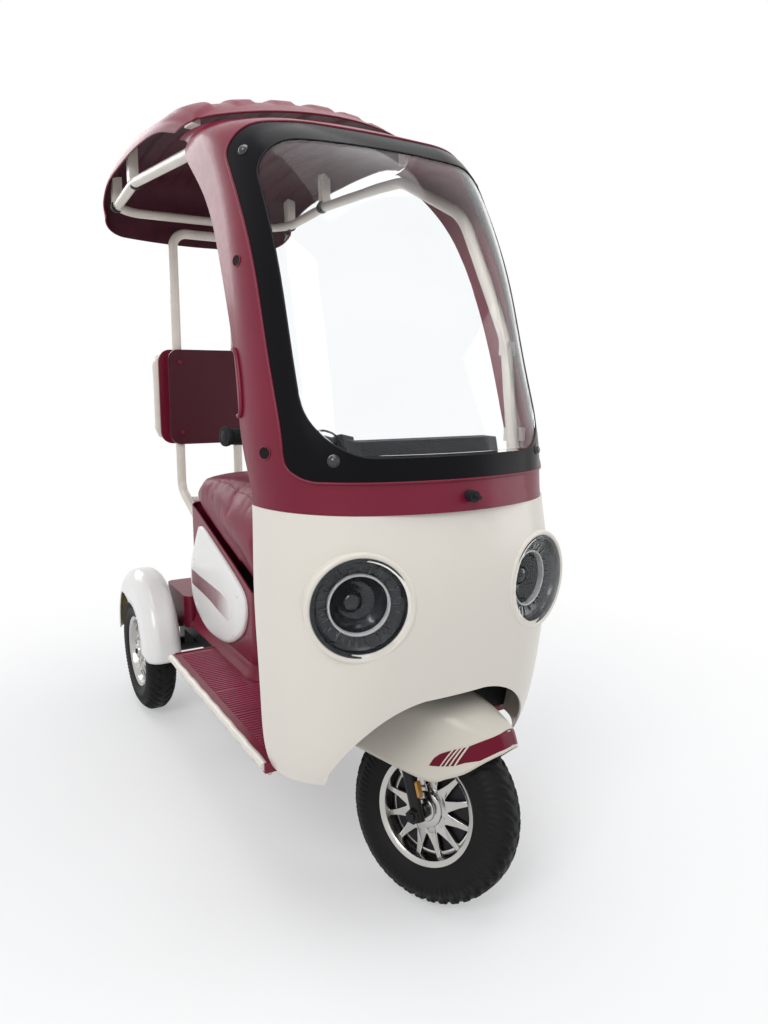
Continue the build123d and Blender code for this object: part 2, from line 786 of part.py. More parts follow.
# Dash: a black shelf inside the band, and a display box on it.
with BuildPart() as dash_panel:
    add(crowned_form(inset(hood_stations, shell_wall + seat_gap)))
    split(bisect_by=Plane.XY.offset(dash_top), keep=Keep.BOTTOM)
    split(bisect_by=Plane.XY.offset(dash_top - dash_thick), keep=Keep.TOP)
    with BuildSketch(Plane.XZ.offset(-behind(150))):
        with Locations((0, dash_top)):
            Rectangle(900, 200)
    extrude(amount=-400, mode=Mode.SUBTRACT)
save(dash_panel, "dash_panel")

display_half_width = 163.0
display_height = 96.0
with BuildPart() as display:
    with BuildSketch(Plane.YZ.offset(-display_half_width)):
        with BuildLine():
            Polyline((behind(-10), dash_top + seat_gap), (behind(70), dash_top + seat_gap),
                     (behind(60), dash_top + display_height), (behind(18), dash_top + display_height), close=True)
        make_face()
    extrude(amount=2 * display_half_width)
save(display, "display")

# Tail body between the rear wheels, with slots for the seat-back posts, and its lamps.
tail_front = 1113.0
tail_rear = 1340.0
tail_half_width = 190.0
with BuildPart() as tail_body:
    with BuildSketch(Plane.XY.offset(rail_top + seat_gap)):
        with Locations((0, behind((tail_front + tail_rear) / 2))):
            RectangleRounded(2 * tail_half_width, tail_rear - tail_front, 24)
    extrude(amount=104)
    with BuildSketch(Plane.XY.offset(rail_top)):
        with Locations((0, behind((tail_front + tail_rear) / 2))):
            RectangleRounded(2 * (tail_half_width - shell_wall), tail_rear - tail_front - 2 * shell_wall, 20)
    extrude(amount=100, mode=Mode.SUBTRACT)
    for sign in (-1, 1):
        with BuildSketch(Plane.XY.offset(rail_top)):
            with Locations((sign * upright_x, behind(post_d))):
                Rectangle(post_thick + 1, post_depth + 1)
        extrude(amount=200, mode=Mode.SUBTRACT)
save(tail_body, "tail_body")
with BuildPart() as tail_lamps:
    for sign in (-1, 1):
        with BuildSketch(Plane.XZ.offset(-behind(tail_rear + seat_gap))):
            with Locations((sign * 140, rail_top + 56)):
                RectangleRounded(70, 44, 10)
        extrude(amount=-14)
save(tail_lamps, "tail_lamps")

# Grips, levers, reflectors and clamps
with BuildPart() as grips:
    for sign in (-1, 1):
        direction = Vector(sign * (bar_half_width - 110), bar_sweep, -10).normalized()
        outer = Vector(sign * bar_half_width, bar_sweep, bar_height) + direction * 4
        with BuildSketch(Plane(origin=outer, x_dir=(0, 0, 1), z_dir=direction * -1)):
            Circle(grip_radius)
        extrude(amount=grip_length)
        with BuildSketch(Plane(origin=outer, x_dir=(0, 0, 1), z_dir=direction * -1)):
            Circle(grip_radius + 4)
        extrude(amount=8)
        with BuildSketch(Plane(origin=outer - direction * 3.7, x_dir=(0, 0, 1), z_dir=direction * -1)):
            Circle(bar_radius + seat_gap)
        extrude(amount=grip_length + 10, mode=Mode.SUBTRACT)
steered(grips, "grips")

with BuildPart() as levers:
    for sign in (-1, 1):
        direction = Vector(sign * (bar_half_width - 110), bar_sweep, -10).normalized()
        root = Vector(sign * bar_half_width, bar_sweep, bar_height) - direction * (grip_length + 4)
        with BuildSketch(Plane(origin=root, x_dir=(0, 0, 1), z_dir=direction * -1)):
            Circle(bar_radius + 7)
            with Locations((0, -sign * 22)):
                Rectangle(12, 18)
            Circle(bar_radius + seat_gap, mode=Mode.SUBTRACT)
        extrude(amount=22)
        blade_start = root + Vector(0, -26, 0) - direction * 3
        with BuildSketch(Plane(origin=blade_start, x_dir=(0, 0, 1), z_dir=direction + Vector(0, -0.06, 0))):
            Rectangle(11, 8)
        extrude(amount=112)
steered(levers, "levers")

with BuildPart() as fork_reflectors:
    for sign in (-1, 1):
        with BuildSketch(Plane.XZ.offset(axle_lead + fork_leg_radius + seat_gap)):
            with Locations((sign * fork_leg_x, 48)):
                RectangleRounded(14, 34, 4)
        extrude(amount=6)
steered(fork_reflectors, "fork_reflectors")

# Wiper spindle through the band.
spindle_x = 10.0
spindle_z = 885.0
with BuildPart() as wiper_spindle:
    with BuildSketch(Plane.XZ.offset(-behind(-97))):
        with Locations((spindle_x, spindle_z)):
            Circle(11)
    extrude(amount=22)
    with BuildSketch(Plane.XZ.offset(-behind(-118))):
        with Locations((spindle_x, spindle_z)):
            Circle(4)
    extrude(amount=16)
    add(crowned_form(hood_stations), mode=Mode.SUBTRACT)
save(wiper_spindle, "wiper_spindle")
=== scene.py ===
import json
from math import atan2, cos, hypot, pi, radians, sin, sqrt

import bmesh
import bpy
import numpy as np
from mathutils import Matrix, Vector
from mathutils.bvhtree import BVHTree


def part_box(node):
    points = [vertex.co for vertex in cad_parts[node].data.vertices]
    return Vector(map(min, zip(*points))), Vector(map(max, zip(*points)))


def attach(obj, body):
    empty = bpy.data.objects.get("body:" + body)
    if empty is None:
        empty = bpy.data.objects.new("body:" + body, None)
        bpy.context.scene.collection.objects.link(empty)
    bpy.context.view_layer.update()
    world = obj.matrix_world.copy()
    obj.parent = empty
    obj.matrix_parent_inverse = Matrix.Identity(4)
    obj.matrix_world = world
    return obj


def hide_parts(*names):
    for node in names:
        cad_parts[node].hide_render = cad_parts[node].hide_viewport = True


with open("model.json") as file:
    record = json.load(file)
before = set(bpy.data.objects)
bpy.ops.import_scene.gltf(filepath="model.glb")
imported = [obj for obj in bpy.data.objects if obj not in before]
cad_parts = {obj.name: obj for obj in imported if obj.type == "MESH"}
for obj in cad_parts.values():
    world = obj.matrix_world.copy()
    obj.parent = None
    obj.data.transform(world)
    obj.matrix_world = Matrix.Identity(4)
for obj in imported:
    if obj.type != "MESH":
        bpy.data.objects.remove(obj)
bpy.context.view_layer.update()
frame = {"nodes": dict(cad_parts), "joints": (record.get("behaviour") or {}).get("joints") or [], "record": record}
NODES = frame["nodes"]
scene = bpy.context.scene

# Places shared with the CAD part, in metres
AXLE_Y = -0.668
RAKE = radians(25.7)
REST = radians(26.5)
AXLE_LEAD = 0.0373
MM = 0.001
SIDES = (("right", -1), ("left", 1))


def behind(distance):
    """Y of a point this many millimetres behind the front axle line."""
    return AXLE_Y + distance / 1000.0


# ---------------------------------------------------------------- materials
def new_material(name):
    m = bpy.data.materials.new(name)
    m.use_nodes = True
    return m, m.node_tree.nodes, m.node_tree.links, m.node_tree.nodes["Principled BSDF"]


def set_inputs(node, **values):
    """Socket values by name, with _ for a space."""
    for name, value in values.items():
        node.inputs[name.replace("_", " ")].default_value = value
    return node


def in_place(nodes, links, kind, **values):
    """A node that is fed with the place in the object's own space."""
    node = set_inputs(nodes.new(kind), **values)
    links.new(nodes.new("ShaderNodeTexCoord").outputs["Object"], node.inputs["Vector"])
    return node


def noise(nodes, links, scale, detail=3.0):
    return in_place(nodes, links, "ShaderNodeTexNoise", Scale=scale, Detail=detail, Roughness=0.55).outputs[0]


def ramp(nodes, links, fac, stops):
    """Colour between two stops, each a place and a colour."""
    r = nodes.new("ShaderNodeValToRGB")
    for stop, (place, color) in zip(r.color_ramp.elements, stops):
        stop.position = place
        stop.color = (*color, 1)
    links.new(fac, r.inputs[0])
    return r.outputs[0]


def add_bump(nodes, links, bsdf, height, strength, distance):
    bump = set_inputs(nodes.new("ShaderNodeBump"), Strength=strength, Distance=distance)
    links.new(height, bump.inputs["Height"])
    links.new(bump.outputs[0], bsdf.inputs["Normal"])


def uneven_gloss(nodes, links, bsdf, fac, rough, low, high):
    stops = [(0.3, (rough * low,) * 3), (0.75, (rough * high,) * 3)]
    links.new(ramp(nodes, links, fac, stops), bsdf.inputs["Roughness"])


def mix_shaders(nodes, links, share, first, second, output):
    """The first shader at share 0 and the second at share 1."""
    mix = nodes.new("ShaderNodeMixShader")
    for k, socket in enumerate((share, first.outputs[0], second.outputs[0])):
        links.new(socket, mix.inputs[k])
    links.new(mix.outputs[0], nodes[output].inputs[0])


def tint(color, k):
    return tuple(min(1.0, c * k) for c in color)


def coloured(name, color, patch, dark, light, stop, **values):
    """Material whose colour drifts between two tints over patches of noise."""
    m, n, l, b = new_material(name)
    drift = noise(n, l, patch, 4.0)
    l.new(ramp(n, l, drift, [(0.3, tint(color, dark)), (stop, tint(color, light))]), b.inputs["Base Color"])
    set_inputs(b, **values)
    return m, n, l, b, drift


def shell_material(name, color, rough, coat, gloss=0.35, dust=0.06):
    """Moulded gloss plastic: a light orange peel, a little uneven gloss and faint dust in the colour."""
    m, n, l, b, _ = coloured(name, color, 7.0, 1 - dust, 1 + dust * 0.6, 0.7, Specular_IOR_Level=gloss,
                             Coat_Weight=coat, Coat_Roughness=0.08)
    uneven_gloss(n, l, b, noise(n, l, 60.0), rough, 0.92, 1.12)
    add_bump(n, l, b, noise(n, l, 180.0, 2.0), 0.25, 0.00015)
    return m


def paint_material(name, color, rough=0.3, coat=0.3):
    m, n, l, b, _ = coloured(name, color, 12.0, 0.93, 1.04, 0.7, Roughness=rough, Specular_IOR_Level=0.25,
                             Coat_Weight=coat, Coat_Roughness=0.12)
    add_bump(n, l, b, noise(n, l, 220.0, 2.0), 0.3, 0.0002)
    return m


def grained_plastic(name, color, rough=0.55, grain=900.0, depth=0.00025):
    m, n, l, b, _ = coloured(name, color, 25.0, 0.8, 1.25, 0.75, Roughness=rough, Specular_IOR_Level=0.16)
    add_bump(n, l, b, noise(n, l, grain), 0.5, depth)
    return m


def leather_material(name, color):
    """Soft vinyl cover with a fine cell grain."""
    m, n, l, b, _ = coloured(name, color, 9.0, 0.86, 1.12, 0.72, Roughness=0.42, Specular_IOR_Level=0.3)
    cells = in_place(n, l, "ShaderNodeTexVoronoi", Scale=420.0)
    add_bump(n, l, b, cells.outputs["Distance"], 0.35, 0.0004)
    return m


def metal_material(name, color, rough):
    m, n, l, b, drift = coloured(name, color, 18.0, 0.88, 1.0, 0.7, Metallic=1.0)
    uneven_gloss(n, l, b, drift, rough, 0.7, 1.4)
    add_bump(n, l, b, noise(n, l, 300.0, 2.0), 0.3, 0.0001)
    return m


def clear_material(name, color, bend):
    """Clear moulded plastic or glass that lets the studio light through to what is behind it."""
    m, n, l, b = new_material(name)
    smudge = noise(n, l, 6.0, 5.0)
    l.new(ramp(n, l, smudge, [(0.35, color), (0.75, tint(color, 0.97))]), b.inputs["Base Color"])
    set_inputs(b, Roughness=0.02, IOR=bend, Transmission_Weight=1.0)
    through = set_inputs(n.new("ShaderNodeBsdfTransparent"), Color=(0.95, 0.96, 0.97, 1))
    shadow = n.new("ShaderNodeLightPath").outputs["Is Shadow Ray"]
    mix_shaders(n, l, shadow, b, through, "Material Output")
    return m


def stripe_material(name, color, ground, clear_d, full_d):
    """Printed stripe that fades out to the panel's own colour at its front end."""
    m = shell_material(name, color, 0.18, 0.8)
    n, l, b = m.node_tree.nodes, m.node_tree.links, m.node_tree.nodes["Principled BSDF"]
    split = in_place(n, l, "ShaderNodeSeparateXYZ")
    reach = set_inputs(n.new("ShaderNodeMapRange"), From_Min=behind(clear_d), From_Max=behind(full_d))
    l.new(split.outputs["Y"], reach.inputs["Value"])
    mix = n.new("ShaderNodeMix")
    mix.data_type = "RGBA"
    l.new(reach.outputs[0], mix.inputs["Factor"])
    mix.inputs["A"].default_value = (*ground, 1)
    l.new(b.inputs["Base Color"].links[0].from_socket, mix.inputs["B"])
    l.new(mix.outputs["Result"], b.inputs["Base Color"])
    return m


MAROON = (0.165, 0.009, 0.028)
CREAM = (0.70, 0.655, 0.585)
DULL_CREAM = (0.66, 0.60, 0.53)
WHITE = (0.80, 0.785, 0.765)
LOOKS = {
    shell_material: {  # colour, roughness, coat, gloss, dust
        "maroon_shell": (MAROON, 0.34, 0.1, 0.2),
        "cream_shell": (CREAM, 0.3, 0.15, 0.35, 0.008),
        "white_shell": (WHITE, 0.18, 0.4, 0.35, 0.01),
        "black_border": ((0.0035, 0.0035, 0.005), 0.26, 0.0, 0.08),
        "lamp_black": ((0.014, 0.015, 0.017), 0.2, 0.5),
        "red_lens": ((0.35, 0.01, 0.012), 0.15, 0.8),
        "amber_lens": ((0.42, 0.2, 0.03), 0.2, 0.6),
        # darker copy of the cream for the front fender: painted shade for its lower, less lit place
        "fender_cream": ((0.60, 0.555, 0.48), 0.3, 0.1, 0.35, 0.004),
        "stripe": ((0.13, 0.006, 0.02), 0.3, 0.0, 0.12),
        "lamp_dark": ((0.012, 0.0125, 0.015), 0.14, 0.3),
        "lamp_lens_dark": ((0.006, 0.0065, 0.008), 0.08, 0.4),
        "floor_mat": ((0.26, 0.035, 0.075), 0.36, 0.15),
        # darker copy of the maroon for the back board: painted shade for the shadow that falls on it
        "board_dark": ((0.06, 0.010, 0.017), 0.35, 0.0, 0.2),
        "dark_trim": ((0.02, 0.02, 0.022), 0.2, 0.5),
    },
    paint_material: {  # colour, roughness, coat
        "cream_paint": (DULL_CREAM,),
        "dark_metal": ((0.006, 0.006, 0.007), 0.38, 0.0),
        "lamp_white": ((0.7, 0.7, 0.7), 0.35),
        "lamp_grey": ((0.42, 0.42, 0.41), 0.3),
    },
    grained_plastic: {  # colour, roughness, grain, depth
        "black_plastic": ((0.016, 0.016, 0.018),),
        "tyre": ((0.0065, 0.0065, 0.007), 0.55, 700.0, 0.0002),
        "grip_rubber": ((0.012, 0.012, 0.013), 0.65, 500.0),
        "yellowed": ((0.56, 0.47, 0.27), 0.5),
        # dark copy of the maroon for the roof's inner wall: painted shade under the roof
        "roof_inside": ((0.055, 0.010, 0.018), 0.5),
        # near black for the shallow pillar holes: painted shade for the inside of a hole
        "hole_dark": ((0.004, 0.003, 0.004), 0.7),
    },
    leather_material: {  # colour
        "maroon_soft": ((0.17, 0.014, 0.036),),
        "cream_soft": (DULL_CREAM,),
        "seam_thread": ((0.42, 0.37, 0.32),),
    },
    metal_material: {  # colour, roughness
        "rim": ((0.50, 0.49, 0.47), 0.2),
        "drum_dark": ((0.03, 0.03, 0.033), 0.45),
        "steel": ((0.52, 0.51, 0.5), 0.3),
    },
    clear_material: {  # colour, refraction
        "clear_screen": ((0.95, 0.97, 0.98), 1.2),
        "lens": ((0.93, 0.95, 0.96), 1.12),
    },
    stripe_material: {  # colour, ground, distances where it starts and is full
        "panel_stripe": ((0.165, 0.010, 0.030), WHITE, 712, 835),
    },
}
MATERIALS = {name: maker(name, *row) for maker, rows in LOOKS.items() for name, row in rows.items()}
node_slot = {s["node"]: s["material_slot"] for s in frame["record"]["subparts"]}
for node_name, obj in NODES.items():
    obj.data.materials.clear()
    obj.data.materials.append(MATERIALS[node_slot[node_name]])

# ---------------------------------------------------------------- frames and helpers
JOINTS = {j["name"]: j for j in frame["joints"]}


def placed(origin, x_axis, y_axis, z_axis):
    """Matrix of a local frame in metres."""
    turn = Matrix((Vector(x_axis), Vector(y_axis), Vector(z_axis))).transposed()
    return Matrix.Translation(Vector(origin)) @ turn.to_4x4()


STEER = placed(
    JOINTS["steer"]["pos_m"],
    (cos(REST), sin(REST) * cos(RAKE), -sin(REST) * sin(RAKE)),
    (-sin(REST), cos(REST) * cos(RAKE), -cos(REST) * sin(RAKE)),
    (0, sin(RAKE), cos(RAKE)),
)
FRONT_WHEEL = STEER @ Matrix.Translation((0, -AXLE_LEAD, 0))
LAMP_X, LAMP_D, LAMP_Z, LAMP_YAW = 204.3, -67.4, 690.8, radians(17.9)


def lamp_frame(sign):
    """A lamp's front rim: x across, y up, z out of the lamp."""
    c, s = cos(LAMP_YAW), sin(LAMP_YAW)
    return placed(place_y(sign * LAMP_X, LAMP_D, LAMP_Z), (c, sign * s, 0), (0, 0, 1), (sign * s, -c, 0))


def new_object(name, data):
    obj = bpy.data.objects.new(name, data)
    scene.collection.objects.link(obj)
    return obj


def finish_piece(obj, look, body="chassis", replaces=()):
    obj.data.materials.append(MATERIALS[look])
    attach(obj, body)
    if replaces:
        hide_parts(*replaces)
    return obj


def add_mesh(name, points, faces, look, body="chassis", slot=None, replaces=(), matrix=None, sharp=35,
             scale=MM):
    """A closed mesh from points in millimetres."""
    mesh = bpy.data.meshes.new(name)
    mesh.from_pydata([Vector(p) * scale for p in points], [], faces)
    bm = bmesh.new()
    bm.from_mesh(mesh)
    bmesh.ops.remove_doubles(bm, verts=bm.verts, dist=2e-6)
    bmesh.ops.recalc_face_normals(bm, faces=bm.faces)
    bm.to_mesh(mesh)
    bm.free()
    if matrix is not None:
        mesh.transform(matrix)
        if matrix.determinant() < 0:
            mesh.flip_normals()
    mesh.shade_smooth()
    mesh.set_sharp_from_angle(angle=radians(sharp))
    return finish_piece(new_object(name, mesh), look, body, replaces)


def grid_faces(rows, cols, wrap_rows=False, wrap_cols=False, start=0):
    faces = []
    for i in range(rows if wrap_rows else rows - 1):
        for j in range(cols if wrap_cols else cols - 1):
            a, b = i * cols + j, i * cols + (j + 1) % cols
            c, d = ((i + 1) % rows) * cols + (j + 1) % cols, ((i + 1) % rows) * cols + j
            faces.append((start + a, start + b, start + c, start + d))
    return faces


def lathe(name, profile, look, body, matrix, segments=72, ring=True, **extra):
    """Profile points (along, radius) turned round the matrix's z axis; ring closes the profile on itself."""
    points = []
    for i in range(segments):
        a = 2 * pi * i / segments
        points += [(r * cos(a), r * sin(a), h) for h, r in profile]
    faces = grid_faces(segments, len(profile), wrap_rows=True, wrap_cols=ring)
    return add_mesh(name, points, faces, look, body, matrix=matrix, **extra)


def round_corner(centre, radius, start, end, steps=6):
    """Profile arc round (along, radius) centre, angles in degrees from the along axis."""
    arc = []
    for i in range(steps + 1):
        a = radians(start + (end - start) * i / steps)
        arc.append((centre[0] + radius * cos(a), centre[1] + radius * sin(a)))
    return arc


def smooth_row(rows, t):
    """Catmull-Rom value at t of a list of equal tuples, one tuple per whole t."""
    last = len(rows) - 1
    i = min(int(t), last - 1)
    f = t - i
    p0, p1, p2, p3 = (rows[min(max(k, 0), last)] for k in (i - 1, i, i + 1, i + 2))
    return tuple(
        0.5 * (2 * b + (c - a) * f + (2 * a - 5 * b + 4 * c - d) * f * f + (3 * b - a - 3 * c + d) * f ** 3)
        for a, b, c, d in zip(p0, p1, p2, p3)
    )


def wire(name, points, radius, look, body="chassis", closed=False, matrix=None):
    """A round tube or thread through points in millimetres."""
    data = bpy.data.curves.new(name, "CURVE")
    data.dimensions = "3D"
    data.bevel_depth = radius * MM
    data.bevel_resolution = 5
    data.resolution_u = 8
    data.use_fill_caps = not closed
    line = data.splines.new("BEZIER")
    line.bezier_points.add(len(points) - 1)
    for knot, p in zip(line.bezier_points, points):
        knot.co = (matrix or Matrix.Identity(4)) @ (Vector(p) * MM)
        knot.handle_left_type = knot.handle_right_type = "AUTO"
    line.use_cyclic_u = closed
    return finish_piece(new_object(name, data), look, body)


def surface_of(objects):
    """BVH tree of several meshes in the row frame."""
    points, faces = [], []
    for obj in objects:
        base = len(points)
        points += [obj.matrix_world @ v.co for v in obj.data.vertices]
        faces += [tuple(base + k for k in p.vertices) for p in obj.data.polygons]
    return BVHTree.FromPolygons(points, faces)


def place_y(x, d, z):
    """Row-frame point in metres of width, distance behind the front axle and height in millimetres."""
    return Vector((x * MM, behind(d), z * MM))


def apply_modifiers(obj):
    shape = obj.evaluated_get(bpy.context.evaluated_depsgraph_get())
    mesh = bpy.data.meshes.new_from_object(shape)
    obj.modifiers.clear()
    obj.data = mesh


def thicken(obj, thickness, inside=None):
    """Give a sheet an inner wall, in a look of its own where one is named."""
    wall = obj.modifiers.new("wall", "SOLIDIFY")
    wall.thickness, wall.offset = thickness, -1
    if inside:
        obj.data.materials.append(MATERIALS[inside])
        wall.material_offset = 1
    apply_modifiers(obj)


def prism_faces(base, n):
    """Side and end faces between two rings of n points, from index base."""
    faces = [(base + i, base + (i + 1) % n, base + n + (i + 1) % n, base + n + i) for i in range(n)]
    return faces + [tuple(base + i for i in range(n)), tuple(base + n + i for i in range(n))]


def facing(place, out):
    """Frame at a place with its z axis along out."""
    return Matrix.Translation(place) @ Vector(out).to_track_quat("Z", "Y").to_matrix().to_4x4()


def from_side(surface, sign, d, z, start=0.5):
    """Where a ray from one side meets a surface, at a distance and a height in millimetres."""
    return surface.ray_cast(Vector((sign * start, behind(d), z * MM)), Vector((-sign, 0, 0)))[0]

# ---------------------------------------------------------------- tyres
# Half of the tyre's outside, as (across, radius).
TYRE_SIDE = [(0, 195), (9, 195), (17, 194.4), (25, 190.5), (36, 180.5), (43.5, 167), (45.8, 152), (44, 137),
             (39.5, 123), (35.5, 112), (34.6, 106)]
TYRE_TURNS = 480
TYRE_STEPS = 21
LUGS = 40
SIDE_RIBS = 84


def fade(value, low, high):
    t = min(1.0, max(0.0, (value - low) / (high - low)))
    return t * t * (3 - 2 * t)


def tyre_relief(turn, across, radius):
    """How far the rubber stands back: curved leaf-shaped grooves on the tread, wavy ribs on the wall."""
    reach = abs(across)
    half_pitch = 0.5 if across < 0 else 0.0
    phase = turn * LUGS + half_pitch + 1.15 * (reach / 38.0) ** 1.4
    near = abs(phase - round(phase))
    on_tread = fade(radius, 172, 182) * fade(reach, 3.0, 7.0)
    groove = 4.2 * (1 - fade(near, 0.09 + 0.05 * reach / 38.0, 0.2 + 0.05 * reach / 38.0)) * on_tread
    second = phase + 0.5
    near_second = abs(second - round(second))
    groove += 3.2 * (1 - fade(near_second, 0.05, 0.13)) * fade(reach, 17, 23) * fade(radius, 168, 176)
    on_wall = fade(radius, 141, 146) * (1 - fade(radius, 164, 170))
    rib = turn * SIDE_RIBS + 0.25 * sin((radius - 140) / 7.0)
    rib_rise = on_wall * (1.5 - 1.5 * fade(abs(rib - round(rib)), 0.16, 0.34))
    step = 0.9 * fade(radius, 124, 126) * (1 - fade(radius, 138, 140))
    return groove - rib_rise - step


def build_tyre(name, node, body, matrix):
    half = [smooth_row(TYRE_SIDE, t * (len(TYRE_SIDE) - 1) / TYRE_STEPS) for t in range(TYRE_STEPS + 1)]
    section = [(-x, r) for x, r in half[::-1]] + half[1:]
    normals = []
    for i, (x, r) in enumerate(section):
        x0, r0 = section[max(i - 1, 0)]
        x1, r1 = section[min(i + 1, len(section) - 1)]
        run = hypot(x1 - x0, r1 - r0)
        normals.append((-(r1 - r0) / run, (x1 - x0) / run))
    points = []
    for i in range(TYRE_TURNS):
        turn = i / TYRE_TURNS
        a = 2 * pi * turn
        for (x, r), (nx, nr) in zip(section, normals):
            back = tyre_relief(turn, x, r)
            px, pr = x - nx * back, r - nr * back
            points.append((px, pr * cos(a), pr * sin(a)))
    faces = grid_faces(TYRE_TURNS, len(section), wrap_rows=True, wrap_cols=True)
    return add_mesh(name, points, faces, "tyre", body, replaces=(node,), matrix=matrix, sharp=60)


WHEELS = (
    ("front", "front_wheel", FRONT_WHEEL, -1),
    ("rear_right", "rear_wheel_right", Matrix.Translation(JOINTS["rear_wheel_right_spin"]["pos_m"]), -1),
    ("rear_left", "rear_wheel_left", Matrix.Translation(JOINTS["rear_wheel_left_spin"]["pos_m"]), 1),
)
NODE_OF = {"front": ("front_tyre", "front_rim"), "rear_right": ("rear_tyre_right", "rear_rim_right"),
           "rear_left": ("rear_tyre_left", "rear_rim_left")}
SPOKES = 12
# Corners as (radius, sideways): round each spoke from its foot, and the valley between two spokes.
SPOKE_CORNERS = ((52, -9.6), (75, -5.6), (100.5, -3.4), (100.5, 3.4), (75, 5.6), (52, 9.6))
VALLEY_CORNERS = ((49.4, -1.6), (48.6, 0.0), (49.4, 1.6))
DOME_EDGE, DOME_FOOT, DOME_RISE = 98, 44, 7.0


def star_disc(name, body, matrix, low, thick):
    """A cast disc with long windows that widen outwards, domed towards the barrel."""
    data = bpy.data.curves.new(name, "CURVE")
    data.dimensions = "2D"
    data.fill_mode = "BOTH"
    data.extrude = thick / 2 * MM
    data.bevel_depth = 1.6 * MM
    data.bevel_resolution = 3
    data.resolution_u = 1
    star = []
    for k in range(SPOKES):
        for corners, turn in ((SPOKE_CORNERS, k), (VALLEY_CORNERS, k + 0.5)):
            a = 2 * pi * turn / SPOKES
            star += [(r * cos(a) - w * sin(a), r * sin(a) + w * cos(a)) for r, w in corners]
    line = data.splines.new("POLY")
    line.points.add(len(star) - 1)
    for knot, (x, y) in zip(line.points, star):
        knot.co = (x * MM, y * MM, 0, 1)
    line.use_cyclic_u = True
    flat = new_object(name + "_flat", data)
    mesh = bpy.data.meshes.new_from_object(flat.evaluated_get(bpy.context.evaluated_depsgraph_get()))
    bpy.data.objects.remove(flat)
    for v in mesh.vertices:
        r = v.co.xy.length / MM
        v.co.z += (low + DOME_RISE * fade(r, DOME_EDGE, DOME_FOOT)) * MM if r < DOME_EDGE else low * MM
    mesh.transform(matrix)
    mesh.shade_smooth()
    mesh.set_sharp_from_angle(angle=radians(40))
    return finish_piece(new_object(name, mesh), "rim", body)


# Profiles as (along the axle outwards, radius)
BARREL = [(38.5, 112), (38.8, 115), (36.5, 116.5), (33.5, 113.5), (33, 106), (20, 104.6), (-20, 104.6),
          (-33, 106), (-33.5, 113.5), (-36.5, 116.5), (-38.8, 115), (-38.5, 112), (-36, 104),
          (-22, 100.8), (-6, 98),
          (8, 95.5), (22, 99.5), (34, 104)]
HUB_CAP = [(14, 20), (14, 49), (26, 49), (27.5, 47), (28, 38), (33, 36.5), (34, 34.5), (34.4, 24), (39, 22.5),
           (40, 20.5), (40.2, 12), (40.2, 9.2), (14, 9.2)]
DRUM = [(-39, 9.2), (-39, 26), (-30, 58), (-28, 74), (-12, 88), (6, 92), (10, 90), (12, 70), (12, 9.2)]
BOLTS, BOLT_CIRCLE, BOLT_RADIUS, BOLT_ENDS = 5, 42, 3.4, (27.0, 30.5)


def build_rim(key, body, matrix, side):
    """Polished barrel, spoked disc near the outer side, stepped cap and a dark drum behind."""
    outward = matrix @ placed((0, 0, 0), (0, 0, -side), (0, 1, 0), (side, 0, 0))
    lathe(key + "_rim_barrel", BARREL, "rim", body, outward, 96, replaces=(NODE_OF[key][1],), sharp=30)
    star_disc(key + "_rim_spokes", body, outward, 18.0, 5.0)
    lathe(key + "_rim_cap", HUB_CAP, "rim", body, outward, 64)
    lathe(key + "_brake_drum", DRUM, "drum_dark", body, outward, 64, slot="dark_metal")
    points, faces = [], []
    for k in range(BOLTS):
        a = 2 * pi * (k + 0.3) / BOLTS
        faces += prism_faces(len(points), 6)
        points += [(BOLT_CIRCLE * cos(a) + BOLT_RADIUS * cos(pi * i / 3),
                    BOLT_CIRCLE * sin(a) + BOLT_RADIUS * sin(pi * i / 3), h)
                   for h in BOLT_ENDS for i in range(6)]
    add_mesh(key + "_rim_bolts", points, faces, "steel", body, slot="rim", matrix=outward, sharp=20)


for key, body, matrix, side in WHEELS:
    build_tyre(key + "_tyre_tread", NODE_OF[key][0], body, matrix)
    build_rim(key, body, matrix, side)

# Spacers, lugs and nuts on the front axle: profile and segments
AXLE_PIECES = {
    "fork_spacer": ([(41, 9), (41, 15), (50, 15), (52, 12.5), (53, 9)], 40, {}),
    "axle_nut": ([(79.5, 8.5), (79.5, 15), (81, 16), (88, 16), (90, 14), (90, 8.5)], 6, {"sharp": 20}),
    "axle_end": ([(85, 0.01), (95, 0.01), (95.5, 5), (94, 7.9), (85, 7.9)], 32, {"ring": False}),
}
for side, sign in SIDES:
    across = FRONT_WHEEL @ placed((0, 0, 0), (0, 0, -sign), (0, 1, 0), (sign, 0, 0))
    for name, (profile, segments, extra) in AXLE_PIECES.items():
        lathe(f"{name}_{side}", profile, "dark_metal", "steering", across, segments, **extra)

# ---------------------------------------------------------------- front fender
# Columns: ahead of the front axle, low edge, top, half width, corner radius.
FENDER_STATIONS = [(-118, 161, 258, 84, 50), (-20, 104, 266, 86, 52), (60, 64, 262, 88, 58),
                   (100, 64, 248, 86, 62), (140, 68, 224, 78, 62), (178, 80, 190, 62, 50),
                   (202, 87, 158, 48, 30), (214, 90, 138, 34, 14), (219, 93, 128, 16, 5)]
FENDER_ROWS = 40
LEAD = AXLE_LEAD / MM


def crown_points(half_width, depth, corner, side, count):
    """The open outline of a crowned section from its right foot over the top to its left foot."""
    rise, reach = depth - side, half_width - corner
    crown = (rise ** 2 + reach ** 2 - corner ** 2) / (2 * (rise - corner))
    lean = atan2(crown - rise, reach)
    straight = max(side, 0.0)
    lengths = [straight, corner * lean, crown * (pi / 2 - lean)]
    half = []
    for i in range(count + 1):
        run = sum(lengths) * i / count
        if run <= lengths[0]:
            half.append((half_width, run))
        elif run <= lengths[0] + lengths[1]:
            a = (run - lengths[0]) / corner
            half.append((reach + corner * cos(a), side + corner * sin(a)))
        else:
            a = lean + (run - lengths[0] - lengths[1]) / crown
            half.append((crown * cos(a), depth - crown + crown * sin(a)))
    return [(-x, y) for x, y in half] + [(x, y) for x, y in half[-2::-1]]


